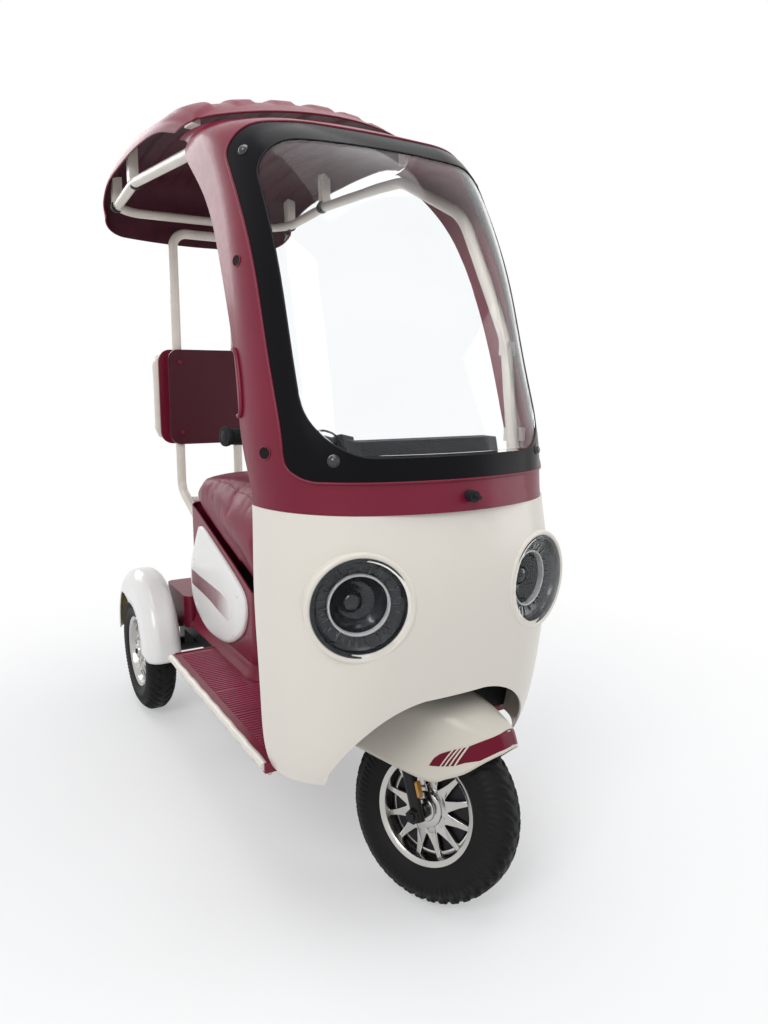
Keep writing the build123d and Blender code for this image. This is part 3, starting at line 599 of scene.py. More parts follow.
def fender_shell():
    points = []
    for i in range(FENDER_ROWS + 1):
        t = i * (len(FENDER_STATIONS) - 1) / FENDER_ROWS
        ahead, low, high, half_width, corner = smooth_row(FENDER_STATIONS, t)
        depth = high - low
        row = crown_points(half_width, depth, corner, depth - corner - 6, 22)
        points += [(x, -LEAD - ahead, low + y) for x, y in row]
    cols = len(points) // (FENDER_ROWS + 1)
    faces = grid_faces(FENDER_ROWS + 1, cols)
    nose = FENDER_ROWS * cols
    faces.append(tuple(nose + j for j in range(cols)))
    return points, faces


# The fender's darker cream is painted shade, not a cream of its own.
fender = add_mesh("front_fender_shell", *fender_shell(), "fender_cream", "steering", slot="cream_shell",
                  replaces=("front_fender",), matrix=STEER)
thicken(fender, 0.003)
fender_surface = surface_of([fender])

# The stripe round the fender's nose: edge heights by the angle round a point ahead of the axle.
STRIPE_LOW = [(-84.4, 95.3), (-69, 90.2), (-51.4, 86.5), (-41.5, 88.7), (-29.5, 86.9), (-16, 96), (-3.3, 98.8),
              (0, 100)]
STRIPE_HIGH = [(-84.4, 95.3), (-74.6, 108.3), (-65.4, 114.1), (-57.7, 115.9), (-47.7, 117.6), (-36.1, 117.5),
               (-22.4, 123.7), (-12.9, 127.6), (-3.7, 130.9), (0, 131.2)]
STRIPE_PIVOT_AHEAD = 60.0


def table_value(rows, at):
    xs, ys = zip(*rows)
    return float(np.interp(at, xs, ys))


def on_fender(angle, height, lift):
    """Point on the fender at an angle round the pivot and a height, lifted off the shell."""
    a = radians(angle)
    away = Vector((sin(a), -cos(a), 0))
    start = Vector((0, -(LEAD + STRIPE_PIVOT_AHEAD), height)) + away * 300
    out = STEER.to_3x3() @ away
    hit = fender_surface.ray_cast(STEER @ (start * MM), -out)[0]
    return None if hit is None else hit + out * lift * MM


def under_fender(point):
    """The point moved into the shell, towards the pivot."""
    middle = STEER @ (Vector((0, -(LEAD + STRIPE_PIVOT_AHEAD), 100)) * MM)
    return point + (middle - point).normalized() * 1.2 * MM


def fender_band(name, columns, look, slot, lift):
    """A thin closed band; columns are lists of (angle, height) from low to high."""
    outside = [[on_fender(a, z, lift) for a, z in column] for column in columns]
    outside = [row for row in outside if all(p is not None for p in row)]
    points = [p for row in outside for p in row + [under_fender(q) for q in row[::-1]]]
    cols = 2 * len(outside[0])
    faces = grid_faces(len(outside), cols, wrap_cols=True)
    last = (len(outside) - 1) * cols
    faces += [tuple(range(cols)), tuple(last + j for j in range(cols))]
    return add_mesh(name, points, faces, look, "steering", slot=slot, scale=1.0, sharp=50)


STRIPE_STEPS = 5
STRIPE_END = 84
columns = []
for angle in range(-STRIPE_END, STRIPE_END + 1):
    low, high = table_value(STRIPE_LOW, -abs(angle)), table_value(STRIPE_HIGH, -abs(angle))
    columns.append([(angle, low + (high - low) * k / STRIPE_STEPS) for k in range(STRIPE_STEPS + 1)])
fender_band("front_fender_stripe", columns, "stripe", "maroon_shell", 0.5)
# Slanted gaps that cut the stripe, by the angles of their feet and tops
GAPS = ((-69, -49.6), (-63.6, -44.4), (-57.8, -40.6), (-52.2, -36.1))
GAP_WIDTH, GAP_STEPS, GAP_OVERRUN = 2.2, 8, 0.5
for side, sign in SIDES:
    for k, (foot, top) in enumerate(GAPS):
        columns = []
        for j in range(3):
            column = []
            for i in range(GAP_STEPS + 1):
                share = i / GAP_STEPS
                angle = foot + (top - foot) * share + GAP_WIDTH * (j / 2 - 0.5)
                height = (1 - share) * (table_value(STRIPE_LOW, foot) - GAP_OVERRUN) \
                    + share * (table_value(STRIPE_HIGH, top) + GAP_OVERRUN)
                column.append((-sign * angle, height))
            columns.append(column)
        # The gaps show the fender's darker cream, which is painted shade.
        fender_band(f"front_fender_gap_{side}_{k + 1}", columns, "fender_cream", "cream_shell", 1.0)

# ---------------------------------------------------------------- headlamps
# Profiles as (out of the lamp, radius)
BEZEL = [(-24, 93), (-24, 104), (9, 104)] + round_corner((9, 98.3), 5.7, 90, -90, 10)
BOWL = [(10.05, 86.2), (10.05, 93.2), (12.6, 93.2), (12.6, 90), (-3, 84), (-8, 79.5), (-13, 70), (-15, 60),
        (-30, 50), (-44, 36), (-49, 22), (-50, 0.01), (-60, 0.01), (-60, 52), (-32, 86.2)]
COLLAR = [(-19, 54.6), (-9, 54.6), (-7.6, 55.2), (-7, 56.8), (-7.6, 58.4), (-9, 59), (-16, 59.2), (-19, 59.2)]
PROJECTOR = [(-50, 0.01), (-50, 22), (-38, 22), (-36, 21)] + [
    (-36 + 12 * sin(radians(a)), 20 * cos(radians(a))) for a in range(10, 90, 10)] + [(-24, 0.01)]
PROJECTOR_SHIFT = 0.010
GLASS_STEPS = 12
GLASS_ARC = [i / GLASS_STEPS for i in range(GLASS_STEPS + 1)]
GLASS = [(13.6 + 11 * (1 - a * a), 92.8 * a) for a in GLASS_ARC]
GLASS += [(13.0 + 9.8 * (1 - a * a), 91.8 * a) for a in GLASS_ARC[::-1]]
FACETS = 28
FLUTE_RIDGE = ((-0.012, 0.0), (0.0, 1.6), (0.012, 0.0))


def flutes():
    """Fine uneven ridges on the reflector's sloping ring."""
    points, faces = [], []
    for k in range(FACETS):
        a = 2 * pi * (k + 0.3 * sin(5.0 * k)) / FACETS
        faces += prism_faces(len(points), 4)
        for r, h in ((62 + 3 * sin(3.0 * k), -13.0), (76 + 4 * sin(7.0 * k), -8.0)):
            points += [(r * cos(a + b), r * sin(a + b), h + rise) for b, rise in FLUTE_RIDGE]
            points.append((r * cos(a), r * sin(a), h - 3))
    return points, faces


for side, sign in SIDES:
    lamp = lamp_frame(sign)
    lathe(f"lamp_bezel_{side}", BEZEL, "cream_shell", "chassis", lamp, 96)
    lathe(f"lamp_glass_{side}", GLASS, "lens", "chassis", lamp, 96, ring=False, replaces=(f"lamp_lens_{side}",))
    lathe(f"lamp_reflector_{side}", BOWL, "lamp_dark", "chassis", lamp, FACETS * 2, slot="lamp_black",
          replaces=(f"lamp_bowl_{side}",), sharp=8)
    add_mesh(f"lamp_flutes_{side}", *flutes(), "steel", slot="lamp_black", matrix=lamp, sharp=20)
    lathe(f"lamp_collar_{side}", COLLAR, "lamp_grey", "chassis", lamp, 80, slot="lamp_white",
          replaces=("lamp_rings",) if sign > 0 else ())
    projector = lamp @ Matrix.Translation((sign * PROJECTOR_SHIFT, 0.0, 0.0))
    lathe(f"lamp_projector_{side}", PROJECTOR, "lamp_lens_dark", "chassis", projector, 64, ring=False,
          slot="lamp_black")

# ---------------------------------------------------------------- screen border, lip and screws
# Outlines seen from the front: low edge, high edge, half width, low corner, high corner, in millimetres.
OPENING_OUTLINE = (914, 1597, 301, 40, 80)
PANE_OUTLINE = (958, 1551, 272, 106, 80)
hood_surface = surface_of([NODES["screen_surround"], NODES["screen_border"], NODES["screen_pane"]])


def rounded_outline(outline, count):
    """Evenly spread points (x, z) of an upright rounded rectangle, from the middle of its top."""
    low, high, half, r_low, r_high = outline
    corners = [((half - r_high, high - r_high), r_high, 90, 0), ((half - r_low, low + r_low), r_low, 0, -90),
               ((-half + r_low, low + r_low), r_low, -90, -180),
               ((-half + r_high, high - r_high), r_high, 180, 90)]
    line = [(0, high)]
    for (cx, cz), r, a0, a1 in corners:
        for i in range(13):
            a = radians(a0 + (a1 - a0) * i / 12)
            line.append((cx + r * cos(a), cz + r * sin(a)))
    line.append((0, high))
    runs = [0.0]
    for (x0, z0), (x1, z1) in zip(line, line[1:]):
        runs.append(runs[-1] + hypot(x1 - x0, z1 - z0))
    xs, zs = zip(*line)
    at = [runs[-1] * i / count for i in range(count)]
    return list(zip(np.interp(at, runs, xs), np.interp(at, runs, zs)))


def on_hood(x, z, lift):
    """Point of the hood's outside at a width and height, moved out of the shell by lift millimetres."""
    for nudge in (0.0, 0.7, -0.7, 1.5, -1.5):
        start = Vector(((x + nudge) * MM, behind(-400), (z + nudge) * MM))
        hit, normal, _, _ = hood_surface.ray_cast(start, Vector((0, 1, 0)), 1.6)
        if hit is not None:
            break
    if hit is None:
        hit, normal, _, _ = hood_surface.find_nearest(Vector((x * MM, behind(60), z * MM)))
    if normal.y > 0:
        normal = -normal
    return hit + normal * lift * MM


RING_COUNT = 220
RING_BANDS = 5
outer_line = rounded_outline(OPENING_OUTLINE, RING_COUNT)
inner_line = rounded_outline(PANE_OUTLINE, RING_COUNT)
points = []
for (xo, zo), (xi, zi) in zip(outer_line, inner_line):
    across = [(xo + (xi - xo) * k / RING_BANDS, zo + (zi - zo) * k / RING_BANDS) for k in range(RING_BANDS + 1)]
    front = [on_hood(x, z, 0.9) for x, z in across]
    rear = [on_hood(x, z, -4.6) for x, z in across]
    points += front + rear[::-1]
add_mesh("screen_border_ring", points, grid_faces(RING_COUNT, 2 * RING_BANDS + 2, True, True), "black_border",
         replaces=("screen_border",), scale=1.0, sharp=50)
lip = [on_hood(x, z, 1.0) / MM for x, z in rounded_outline(OPENING_OUTLINE, 120)]
wire("screen_opening_lip", lip, 2.6, "maroon_shell", closed=True)
seal = [on_hood(x, z, 0.9) / MM for x, z in rounded_outline(PANE_OUTLINE, 110)]
wire("screen_pane_seal", seal, 1.3, "black_plastic", closed=True)
DOME = [(-2, 0.01), (-2, 11.5), (1.2, 11.5), (1.6, 10), (3.6, 8.9), (5.6, 6.6), (6.9, 3.6), (7.3, 0.01)]
for name, x, z in (("low", 236.0, 954.0), ("high", 280.2, 1532.6)):
    for side, sign in SIDES:
        middle, near, above = (on_hood(sign * u, v, 0.6) for u, v in ((x, z), (x - 6, z), (x, z + 6)))
        out = (near - middle).cross(above - middle).normalized()
        screw = facing(middle, out if out.y < 0 else -out)
        lathe(f"screen_screw_{name}_{side}", DOME, "dark_trim", "chassis", screw, 32, ring=False,
              slot="black_border")

# ---------------------------------------------------------------- side panels
# Outline as distance and height, and the coloured stripe as distance and its low and high edge.
PANEL_OUTLINE = [(947, 650), (850, 619), (745, 584), (646, 546), (610, 512), (613, 460), (658, 404), (768, 354),
                 (917, 341), (1008, 362), (1072, 402), (1092, 460), (1087, 510), (1060, 560), (1006, 637),
                 (985, 652)]
PANEL_STRIPE = [(700, 452, 476), (736, 427.8, 487.5), (797.6, 434.5, 495.6), (811.7, 435.7, 496.2),
                (891.7, 447.3, 498), (987.2, 453.7, 499.7), (1071.5, 455.8, 503.2)]


def panel_mesh(name, node, sign):
    count = 120
    rows = PANEL_OUTLINE + PANEL_OUTLINE[:3]
    line = []
    for i in range(count):
        t = 1 + i * len(PANEL_OUTLINE) / count
        line.append(smooth_row(rows, t) if t < len(rows) - 1 else smooth_row(rows, t - len(PANEL_OUTLINE)))
    middle = Vector((sum(p[0] for p in line) / count, sum(p[1] for p in line) / count))
    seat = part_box(node)[1 if sign < 0 else 0].x
    points = []
    for inset_by, rise in PANEL_STEPS:
        for d, z in line:
            toward = (middle - Vector((d, z)))
            p = Vector((d, z)) + toward.normalized() * min(inset_by, toward.length * 0.9)
            x = seat + sign * rise * MM
            points.append((x, behind(p.x), p.y * MM))
    faces = grid_faces(len(PANEL_STEPS), count, wrap_cols=True)
    top = (len(PANEL_STEPS) - 1) * count
    points.append((seat + sign * PANEL_RISE * MM, behind(middle.x), middle.y * MM))
    faces += [(top + j, top + (j + 1) % count, len(points) - 1) for j in range(count)]
    faces.append(tuple(range(count)))
    return add_mesh(name, points, faces, "white_shell", replaces=(node,), scale=1.0, sharp=40)


def panel_stripe(name, shell, sign):
    """The coloured stripe, laid on the panel."""
    ds, lows, highs = zip(*PANEL_STRIPE)
    points = []
    for i in range(STRIPE_ROWS + 1):
        d = ds[0] + (ds[-1] - ds[0]) * i / STRIPE_ROWS
        low, high = float(np.interp(d, ds, lows)), float(np.interp(d, ds, highs))
        column = [from_side(shell, sign, d, low + (high - low) * k / 6, 0.4) for k in range(7)]
        points += [p + Vector((sign * 0.0005, 0, 0)) for p in column]
        points += [p - Vector((sign * 0.0006, 0, 0)) for p in column[::-1]]
    faces = grid_faces(STRIPE_ROWS + 1, 14, wrap_cols=True)
    faces += [tuple(range(14)), tuple(STRIPE_ROWS * 14 + j for j in range(14))]
    add_mesh(name, points, faces, "panel_stripe", slot="maroon_shell", scale=1.0)


# Inset from the outline and rise, from the seat to the face
PANEL_STEPS = [(0.0, 0.0), (0.0, 4.5), (1.4, 6.9), (4.5, 8.4), (12, 9.6), (34, 10.6), (80, 11.2)]
PANEL_RISE, STRIPE_ROWS = 11.4, 70
PANEL_SCREWS = ((660, 520), (1040, 540), (1030, 400), (700, 398))
PANEL_SCREW = [(-1, 0.01), (-1, 5), (0.8, 5), (1.6, 4), (1.9, 2.4), (1.2, 2), (1.2, 0.01)]
for side, sign in SIDES:
    panel = panel_mesh(f"side_panel_shell_{side}", f"side_panel_{side}", sign)
    shell = surface_of([panel])
    panel_stripe(f"side_panel_stripe_{side}", shell, sign)
    for k, (d, z) in enumerate(PANEL_SCREWS):
        spot = placed(from_side(shell, sign, d, z, 0.4), (0, 0, -sign), (0, 1, 0), (sign, 0, 0))
        lathe(f"side_panel_screw_{side}_{k + 1}", PANEL_SCREW, "white_shell", "chassis", spot, 24, ring=False)

# ---------------------------------------------------------------- saddle and back cushion
CLOTH_PRESSURE, CLOTH_STIFFNESS, CLOTH_FRAMES = 4.0, 12, 20


def puffed(name, node, look, shrink, voxel, cap, body, keep):
    """A stuffed cover: the CAD block drawn in a little, blown up as cloth, held to cap, then smoothed."""
    mesh = NODES[node].data.copy()
    mesh.name = name
    obj = new_object(name, mesh)
    low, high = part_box(node)
    middle = (low + high) / 2
    for v in mesh.vertices:
        for k in range(3):
            span = (high[k] - low[k]) / 2
            v.co[k] = middle[k] + (v.co[k] - middle[k]) * (1 - shrink / span)
    remesh = obj.modifiers.new("remesh", "REMESH")
    remesh.mode = "VOXEL"
    remesh.voxel_size = voxel
    apply_modifiers(obj)
    start = np.array([v.co for v in obj.data.vertices], float)
    cloth = obj.modifiers.new("cloth", "CLOTH")
    settings = cloth.settings
    settings.use_pressure = True
    settings.uniform_pressure_force = CLOTH_PRESSURE
    settings.effector_weights.gravity = 0
    settings.quality = 5
    settings.tension_stiffness = settings.compression_stiffness = CLOTH_STIFFNESS
    cloth.point_cache.frame_start, cloth.point_cache.frame_end = 1, CLOTH_FRAMES
    for f in range(1, CLOTH_FRAMES + 1):
        scene.frame_set(f)
    apply_modifiers(obj)
    scene.frame_set(1)
    end = np.array([v.co for v in obj.data.vertices], float)
    move = end - start
    far = np.linalg.norm(move, axis=1)
    move *= np.minimum(1.0, cap / np.maximum(far, 1e-9))[:, None]
    end = keep(start, start + move)
    obj.data.vertices.foreach_set("co", end.astype(np.float32).ravel())
    smooth = obj.modifiers.new("smooth", "SMOOTH")
    smooth.factor, smooth.iterations = 0.6, 5
    soft = obj.modifiers.new("soft", "SUBSURF")
    soft.levels = soft.render_levels = 1
    apply_modifiers(obj)
    obj.data.materials.clear()
    obj.data.shade_smooth()
    finish_piece(obj, look, body, replaces=(node,))
    return obj


def seat_on_box(start, end):
    """The saddle's sides and underside stay on the seat box."""
    low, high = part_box("saddle")
    out = end.copy()
    out[:, 0] = np.clip(out[:, 0], low.x + 0.001, high.x - 0.001)
    out[:, 1] = np.clip(out[:, 1], low.y + 0.001, high.y - 0.001)
    down = end[:, 2] < start[:, 2]
    out[down, 2] = start[down, 2]
    return out


def cushion_rest(start, end):
    """The cushion lies flat on its board and bulges backwards."""
    low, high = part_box("back_cushion")
    out = end.copy()
    share = (np.abs(end[:, 0]) / high.x) ** 6
    out[:, 0] = np.sign(start[:, 0]) * np.maximum(np.abs(end[:, 0]), np.abs(start[:, 0]) + 0.008 * share)
    out[:, 1] = np.maximum(out[:, 1], low.y + 0.0005)
    return out


saddle = puffed("saddle_cover", "saddle", "maroon_soft", 0.004, 0.007, 0.016, "saddle", keep=seat_on_box)
cushion = puffed("back_cushion_cover", "back_cushion", "cream_soft", 0.006, 0.006, 0.018, "chassis",
                 keep=cushion_rest)
saddle_surface = surface_of([saddle])


def seam_on(surface, starts, direction, sink):
    line = []
    for p in starts:
        hit = surface.ray_cast(Vector(p), Vector(direction))[0]
        if hit is not None:
            line.append((hit + Vector(direction) * sink * MM) / MM)
    return line


# Welts along the shoulders of the saddle and one along its crown
for name, x, radius in (("crown", 0.0, 1.5), ("right", -128.0, 2.2), ("left", 128.0, 2.2)):
    line = seam_on(saddle_surface, [place_y(x, 562 + 11 * i, 1000) for i in range(49)], (0, 0, -1), 0.5)
    wire(f"saddle_welt_{name}", line[::2], radius, "maroon_soft", "saddle")
low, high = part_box("back_cushion")
cushion_surface = surface_of([cushion])
mid_z = (low.z + high.z) / 2
outline = rounded_outline((low.z / MM + 12, high.z / MM - 12, high.x / MM - 12, 40, 40), 60)
line = seam_on(cushion_surface, [(x * MM, high.y + 0.15, z * MM) for x, z in outline], (0, -1, 0), 0.3)
wire("back_cushion_piping", line, 3.0, "cream_soft", closed=True)
for k, z in enumerate((mid_z - 0.055, mid_z + 0.055)):
    line = seam_on(cushion_surface, [(-0.16 + 0.016 * i, high.y + 0.15, z) for i in range(21)], (0, -1, 0), 0.6)
    wire(f"back_cushion_seam_{k + 1}", line, 1.5, "seam_thread")

# ---------------------------------------------------------------- floor, seat box foot and small parts
FLOOR_LOW, FLOOR_TOP = (corner.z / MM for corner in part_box("footboard"))
FLOOR_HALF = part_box("footboard")[1].x / MM
# Section of a low rounded rib that runs across the floor, as (along, up)
FLOOR_RIB = [(-3.4, -0.4), (-3.4, 0.95), (-1.7, 1.9), (1.7, 1.9), (3.4, 0.95), (3.4, -0.4)]
FLOOR_RIB_EDGE = FLOOR_HALF - 26

points, faces = [], []
rows = [(d, -FLOOR_RIB_EDGE, FLOOR_RIB_EDGE) for d in range(396, 534, 12)]
rows += [(d, side * 196, side * FLOOR_RIB_EDGE) for d in range(546, 826, 12) for side in (-1, 1)]
rows += [(d, side * 168, side * FLOOR_RIB_EDGE) for d in range(200, 390, 12) for side in (-1, 1)]
for d, x0, x1 in rows:
    faces += prism_faces(len(points), len(FLOOR_RIB))
    points += [(x, behind(d + u) / MM, FLOOR_TOP + v) for x in (x0, x1) for u, v in FLOOR_RIB]
add_mesh("floor_ribs", points, faces, "floor_mat", slot="maroon_shell", sharp=30)
for side, sign in SIDES:
    edge = [(sign * (FLOOR_HALF - 1 - 1.5 * (k % 2)), behind(d) / MM, FLOOR_TOP - 8)
            for k, d in enumerate(range(140, 852, 44))]
    wire(f"floor_edge_{side}", edge, 9.5, "cream_shell")
rear_edge = [(x, behind(846) / MM, FLOOR_TOP - 4) for x in range(-300, 301, 50)]
wire("floor_edge_rear", rear_edge, 7.0, "maroon_shell")

# Flared foot round the seat box
box_low, box_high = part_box("seat_box")


def box_ring(grow, z, count=120):
    """Rounded rectangle round the seat box at a height."""
    half_x, half_y = box_high.x / MM + grow, (box_high.y - box_low.y) / 2 / MM + grow
    middle_y = (box_high.y + box_low.y) / 2 / MM
    ring = rounded_outline((-half_y, half_y, half_x, 40 + grow, 40 + grow), count)
    return [(x, middle_y + y, z) for x, y in ring]


levels = [(0.2, FLOOR_TOP + 34), (1.6, FLOOR_TOP + 32), (4, FLOOR_TOP + 20), (9, FLOOR_TOP + 9),
          (17, FLOOR_TOP + 3), (18, FLOOR_TOP + 0.2), (0.2, FLOOR_TOP + 0.2)]
points = [p for grow, z in levels for p in box_ring(grow, z)]
add_mesh("seat_box_foot", points, grid_faces(len(levels), 120, True, True), "maroon_shell")

# Grips with ribs and a flared end
BAR_HALF, BAR_SWEEP, BAR_HEIGHT, GRIP_LENGTH = 332.0, 50.0, 834.0, 120.0
GRIP_RIBS, GRIP_PITCH = 24, 4.3
SLEEVE = [(-GRIP_LENGTH + 10, 15.5)]
for k in range(GRIP_RIBS):
    start = -GRIP_LENGTH + 11 + k * GRIP_PITCH
    SLEEVE += [(start, 16.3), (start + 0.8, 17.3), (start + 2.6, 17.3), (start + 3.4, 16.3)]
SLEEVE += [(-4, 17), (-2, 20.2), (1, 21.2), (4.5, 20.6), (5.4, 17), (5.6, 12), (4.6, 11.9), (4.6, 15.5)]
for side, sign in SIDES:
    along = Vector((sign * (BAR_HALF - 110), BAR_SWEEP, -10)).normalized()
    across = along.cross(Vector((0, 0, 1))).normalized()
    bar_end = Vector((sign * BAR_HALF, BAR_SWEEP, BAR_HEIGHT)) * MM
    frame_at = STEER @ placed(bar_end, across, along.cross(across), along)
    lathe(f"grip_ribs_{side}", SLEEVE, "grip_rubber", "steering", frame_at, 36, sharp=30)
    lathe(f"bar_cap_{side}", [(2, 0.01), (2, 11.5), (6, 11), (7.5, 8), (8, 0.01)], "black_plastic", "steering",
          frame_at, 32, ring=False)
BRAKE_CABLE = [(-150, -16, 838), (-110, -40, 846), (-50, -38, 820), (-24, -22, 760), (-20, -18, 660)]
wire("brake_cable_right", BRAKE_CABLE, 2.6, "black_plastic", "steering", matrix=STEER)

# Screw heads, pegs and clamps
HEX = [(0, 0.01), (0, 6.4), (1.5, 7), (5, 7), (6, 6.2), (6.2, 0.01)]
CLAMP = [(-11, 13.8), (-11, 16.4), (-9, 17.4), (9, 17.4), (11, 16.4), (11, 13.8)]


def bolt(name, place, normal, look="steel", slot="dark_metal", size=1.0):
    lathe(name, [(h * size, r * size) for h, r in HEX], look, "chassis", facing(place, normal), 6, ring=False,
          slot=slot, sharp=20)


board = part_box("back_front_board")[0].y
for side, sign in SIDES:
    for k, z in enumerate((0.905, 1.14)):
        bolt(f"board_bolt_{side}_{k + 1}", Vector((sign * 0.1035, board, z)), (0, -1, 0), "maroon_shell",
             "maroon_shell", 1.2)
    for k, d in enumerate((1250, 1274)):
        bolt(f"post_bolt_{side}_{k + 1}", place_y(sign * 112, d, 420), (sign, 0, 0))
    for name, d, z in (("front", 1090, 1630), ("rear", 1345, 1610)):
        spot = placed(place_y(sign * 292, d, z), (1, 0, 0), (0, 0, 1), (0, -1, 0))
        lathe(f"roof_clamp_{name}_{side}", CLAMP, "black_plastic", "chassis", spot, 40)

# ---------------------------------------------------------------- rear fenders
# A crowned section turned round a line above the axle; the outer wall is open round the wheel.
FENDER_MIDDLE = (1262.0, 240.0)
FENDER_RADIUS, FENDER_HALF, FENDER_CORNER = 225.0, 54.0, 38.0
FENDER_SWELL, FENDER_FOOT, FENDER_TURNS = 5.0, 222.0, 72
WHEEL_OPENING = (1360.0, 213.0, 158.0)
INNER_FOOT = 70.0
WALL = 0.004


def opening_reach(angle):
    """Radius from the turning line at which the outer wall meets the wheel opening."""
    d0, z0, r = WHEEL_OPENING
    a = radians(angle)
    ux, uz = cos(a), sin(a)
    ox, oz = d0 - FENDER_MIDDLE[0], z0 - FENDER_MIDDLE[1]
    along = ux * ox + uz * oz
    gap = r * r - (ox * ox + oz * oz - along * along)
    return max(0.0, along + sqrt(gap)) if gap > 0 else 0.0


def fender_row(angle):
    """Section of a rear fender at an angle, as (across, radius) from the outer wall's foot."""
    top = FENDER_RADIUS - FENDER_CORNER
    crown = []
    for k in range(11):
        b = radians(90 * k / 10)
        crown.append((FENDER_HALF - FENDER_CORNER + FENDER_CORNER * sin(b), top + FENDER_CORNER * cos(b)))
    outer_low = min(top - 2, max(opening_reach(angle), 120.0))
    row = [(FENDER_HALF, outer_low + (top - outer_low) * k / 4) for k in range(4)]
    row += crown[::-1] + [(-x, r) for x, r in crown]
    row += [(-FENDER_HALF, top + (INNER_FOOT - top) * k / 4) for k in range(1, 5)]
    return [(x, r + (FENDER_SWELL * (1 - (x / FENDER_HALF) ** 2) if r > top else 0.0)) for x, r in row]


for side, sign in SIDES:
    low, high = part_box(f"rear_fender_{side}")
    middle_x = sign * (abs(high.x if sign < 0 else low.x) / MM + FENDER_HALF + 0.5)
    points = []
    for i in range(FENDER_TURNS + 1):
        angle = -5 + 190 * i / FENDER_TURNS
        a = radians(angle)
        for x, r in fender_row(angle):
            z = max(FENDER_MIDDLE[1] + r * sin(a), FENDER_FOOT)
            points.append((middle_x + sign * x, behind(FENDER_MIDDLE[0] + r * cos(a)) / MM, z))
    cols = len(points) // (FENDER_TURNS + 1)
    shell = add_mesh(f"rear_fender_shell_{side}", points, grid_faces(FENDER_TURNS + 1, cols), "white_shell",
                     replaces=(f"rear_fender_{side}",), sharp=50)
    thicken(shell, WALL, "yellowed")

# ---------------------------------------------------------------- roof with moulded ribs
# Columns: edge distance and height, crown distance and height, half width, corner radius, straight side.
ROOF_STATIONS = [(645, 1650, 402, 1672, 304, 172, 20), (750, 1674, 560, 1730, 318, 150, 10),
                 (900, 1682, 810, 1742, 326, 80, 6), (1090, 1678, 1090, 1740, 328, 50, 6),
                 (1280, 1664, 1330, 1712, 328, 50, 6), (1386, 1626, 1452, 1650, 323, 54, 6),
                 (1398, 1590, 1490, 1533, 316, 88, 6)]
RIB_PITCH, RIB_WIDTH, RIB_RISE, RIB_FRONT, RIB_REAR, RIB_COUNT = 88.0, 52.0, 7.0, 470.0, 1360.0, 7
ROOF_ROWS, ROOF_HALF_COLS = 110, 84
points = []
for i in range(ROOF_ROWS + 1):
    t = i * (len(ROOF_STATIONS) - 1) / ROOF_ROWS
    edge_d, edge_z, crown_d, crown_z, half_width, corner, straight = smooth_row(ROOF_STATIONS, t)
    run = Vector((crown_d - edge_d, crown_z - edge_z))
    up = run.normalized()
    for x, y in crown_points(half_width, run.length, corner, straight, ROOF_HALF_COLS):
        d, z = edge_d + up.x * y, edge_z + up.y * y
        rib = min(range(RIB_COUNT), key=lambda k: abs(x - (k - 3) * RIB_PITCH))
        off = abs(x - (rib - 3) * RIB_PITCH)
        start = RIB_FRONT + 24 * abs(rib - 3)
        ends = fade(d, start - 10, start + 22) * (1 - fade(d, RIB_REAR - 22, RIB_REAR + 10))
        rise = RIB_RISE * (1 - fade(off, RIB_WIDTH / 2 - 9, RIB_WIDTH / 2 + 1)) * ends
        points.append((x, behind(d) / MM, z + rise))
cols = len(points) // (ROOF_ROWS + 1)
roof = add_mesh("roof_shell", points, grid_faces(ROOF_ROWS + 1, cols), "maroon_shell", "chassis",
                replaces=("roof",), sharp=60)
# The roof's inner wall takes a dark copy of the maroon: painted shade under the roof.
thicken(roof, WALL, "roof_inside")

# Sills: a slim bar under each floor edge
for side, sign in SIDES:
    line = [(sign * (FLOOR_HALF - 16), behind(d) / MM, FLOOR_LOW - 7) for d in range(150, 830, 68)]
    bar = wire(f"sill_bar_{side}", line, 7.0, "cream_shell")
    if sign > 0:
        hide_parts("sills")

# Shallow holes painted near black, painted shade for the inside of a hole, and grip lips on the pillars
PILLAR_HOLES = ((228, 1319, 11), (92, 961, 12))
HOLE_STEPS, HOLE_DEPTH, HOLE_STRETCH = 32, 2.0, 1.25
pillar_surface = surface_of([NODES["screen_surround"]])
for side, sign in SIDES:
    sink = Vector((sign * HOLE_DEPTH, 0, 0))
    for k, (d, z, r) in enumerate(PILLAR_HOLES):
        rings = []
        for share in (1.0, 0.72, 0.4, 0.05):
            ring = []
            for i in range(HOLE_STEPS):
                a = 2 * pi * i / HOLE_STEPS
                reach = r * share
                hit = from_side(pillar_surface, sign, d + HOLE_STRETCH * reach * cos(a), z + reach * sin(a))
                ring.append((hit + Vector((sign * 0.0007, 0, 0))) / MM)
            rings.append(ring)
        rings += [[p - sink for p in rings[-1]], [p - sink for p in rings[0]]]
        add_mesh(f"pillar_hole_{side}_{k + 1}", [p for ring in rings for p in ring],
                 grid_faces(len(rings), HOLE_STEPS, True, True), "hole_dark", slot="black_plastic", sharp=30)
        wire(f"pillar_hole_lip_{side}_{k + 1}", rings[0][::2], 1.3, "maroon_shell", closed=True)

# Raised grip lip on each pillar's rear edge, as (ahead of the edge, height)
GRIP_LIP = ((2, 1152), (10, 1151), (18, 1144), (22, 1128), (22, 1050), (18, 1034), (10, 1026), (2, 1024))


def pillar_edge(sign, z):
    """Distance of the rearmost point of a pillar's side at a height."""
    for d in range(300, 100, -2):
        hit = from_side(pillar_surface, sign, d, z)
        if hit is not None and sign * hit.x > 0.27:
            return d
    return None


for side, sign in SIDES:
    line = []
    for ahead, z in GRIP_LIP:
        d = pillar_edge(sign, z) - ahead
        line.append((from_side(pillar_surface, sign, d, z).x / MM + sign * 2.0, behind(d) / MM, z))
    wire(f"pillar_grip_lip_{side}", line, 4.5, "maroon_shell")

# The back board takes a darker copy of the maroon: painted shade for the shadow that falls on it.
NODES["back_front_board"].data.materials[0] = MATERIALS["board_dark"]

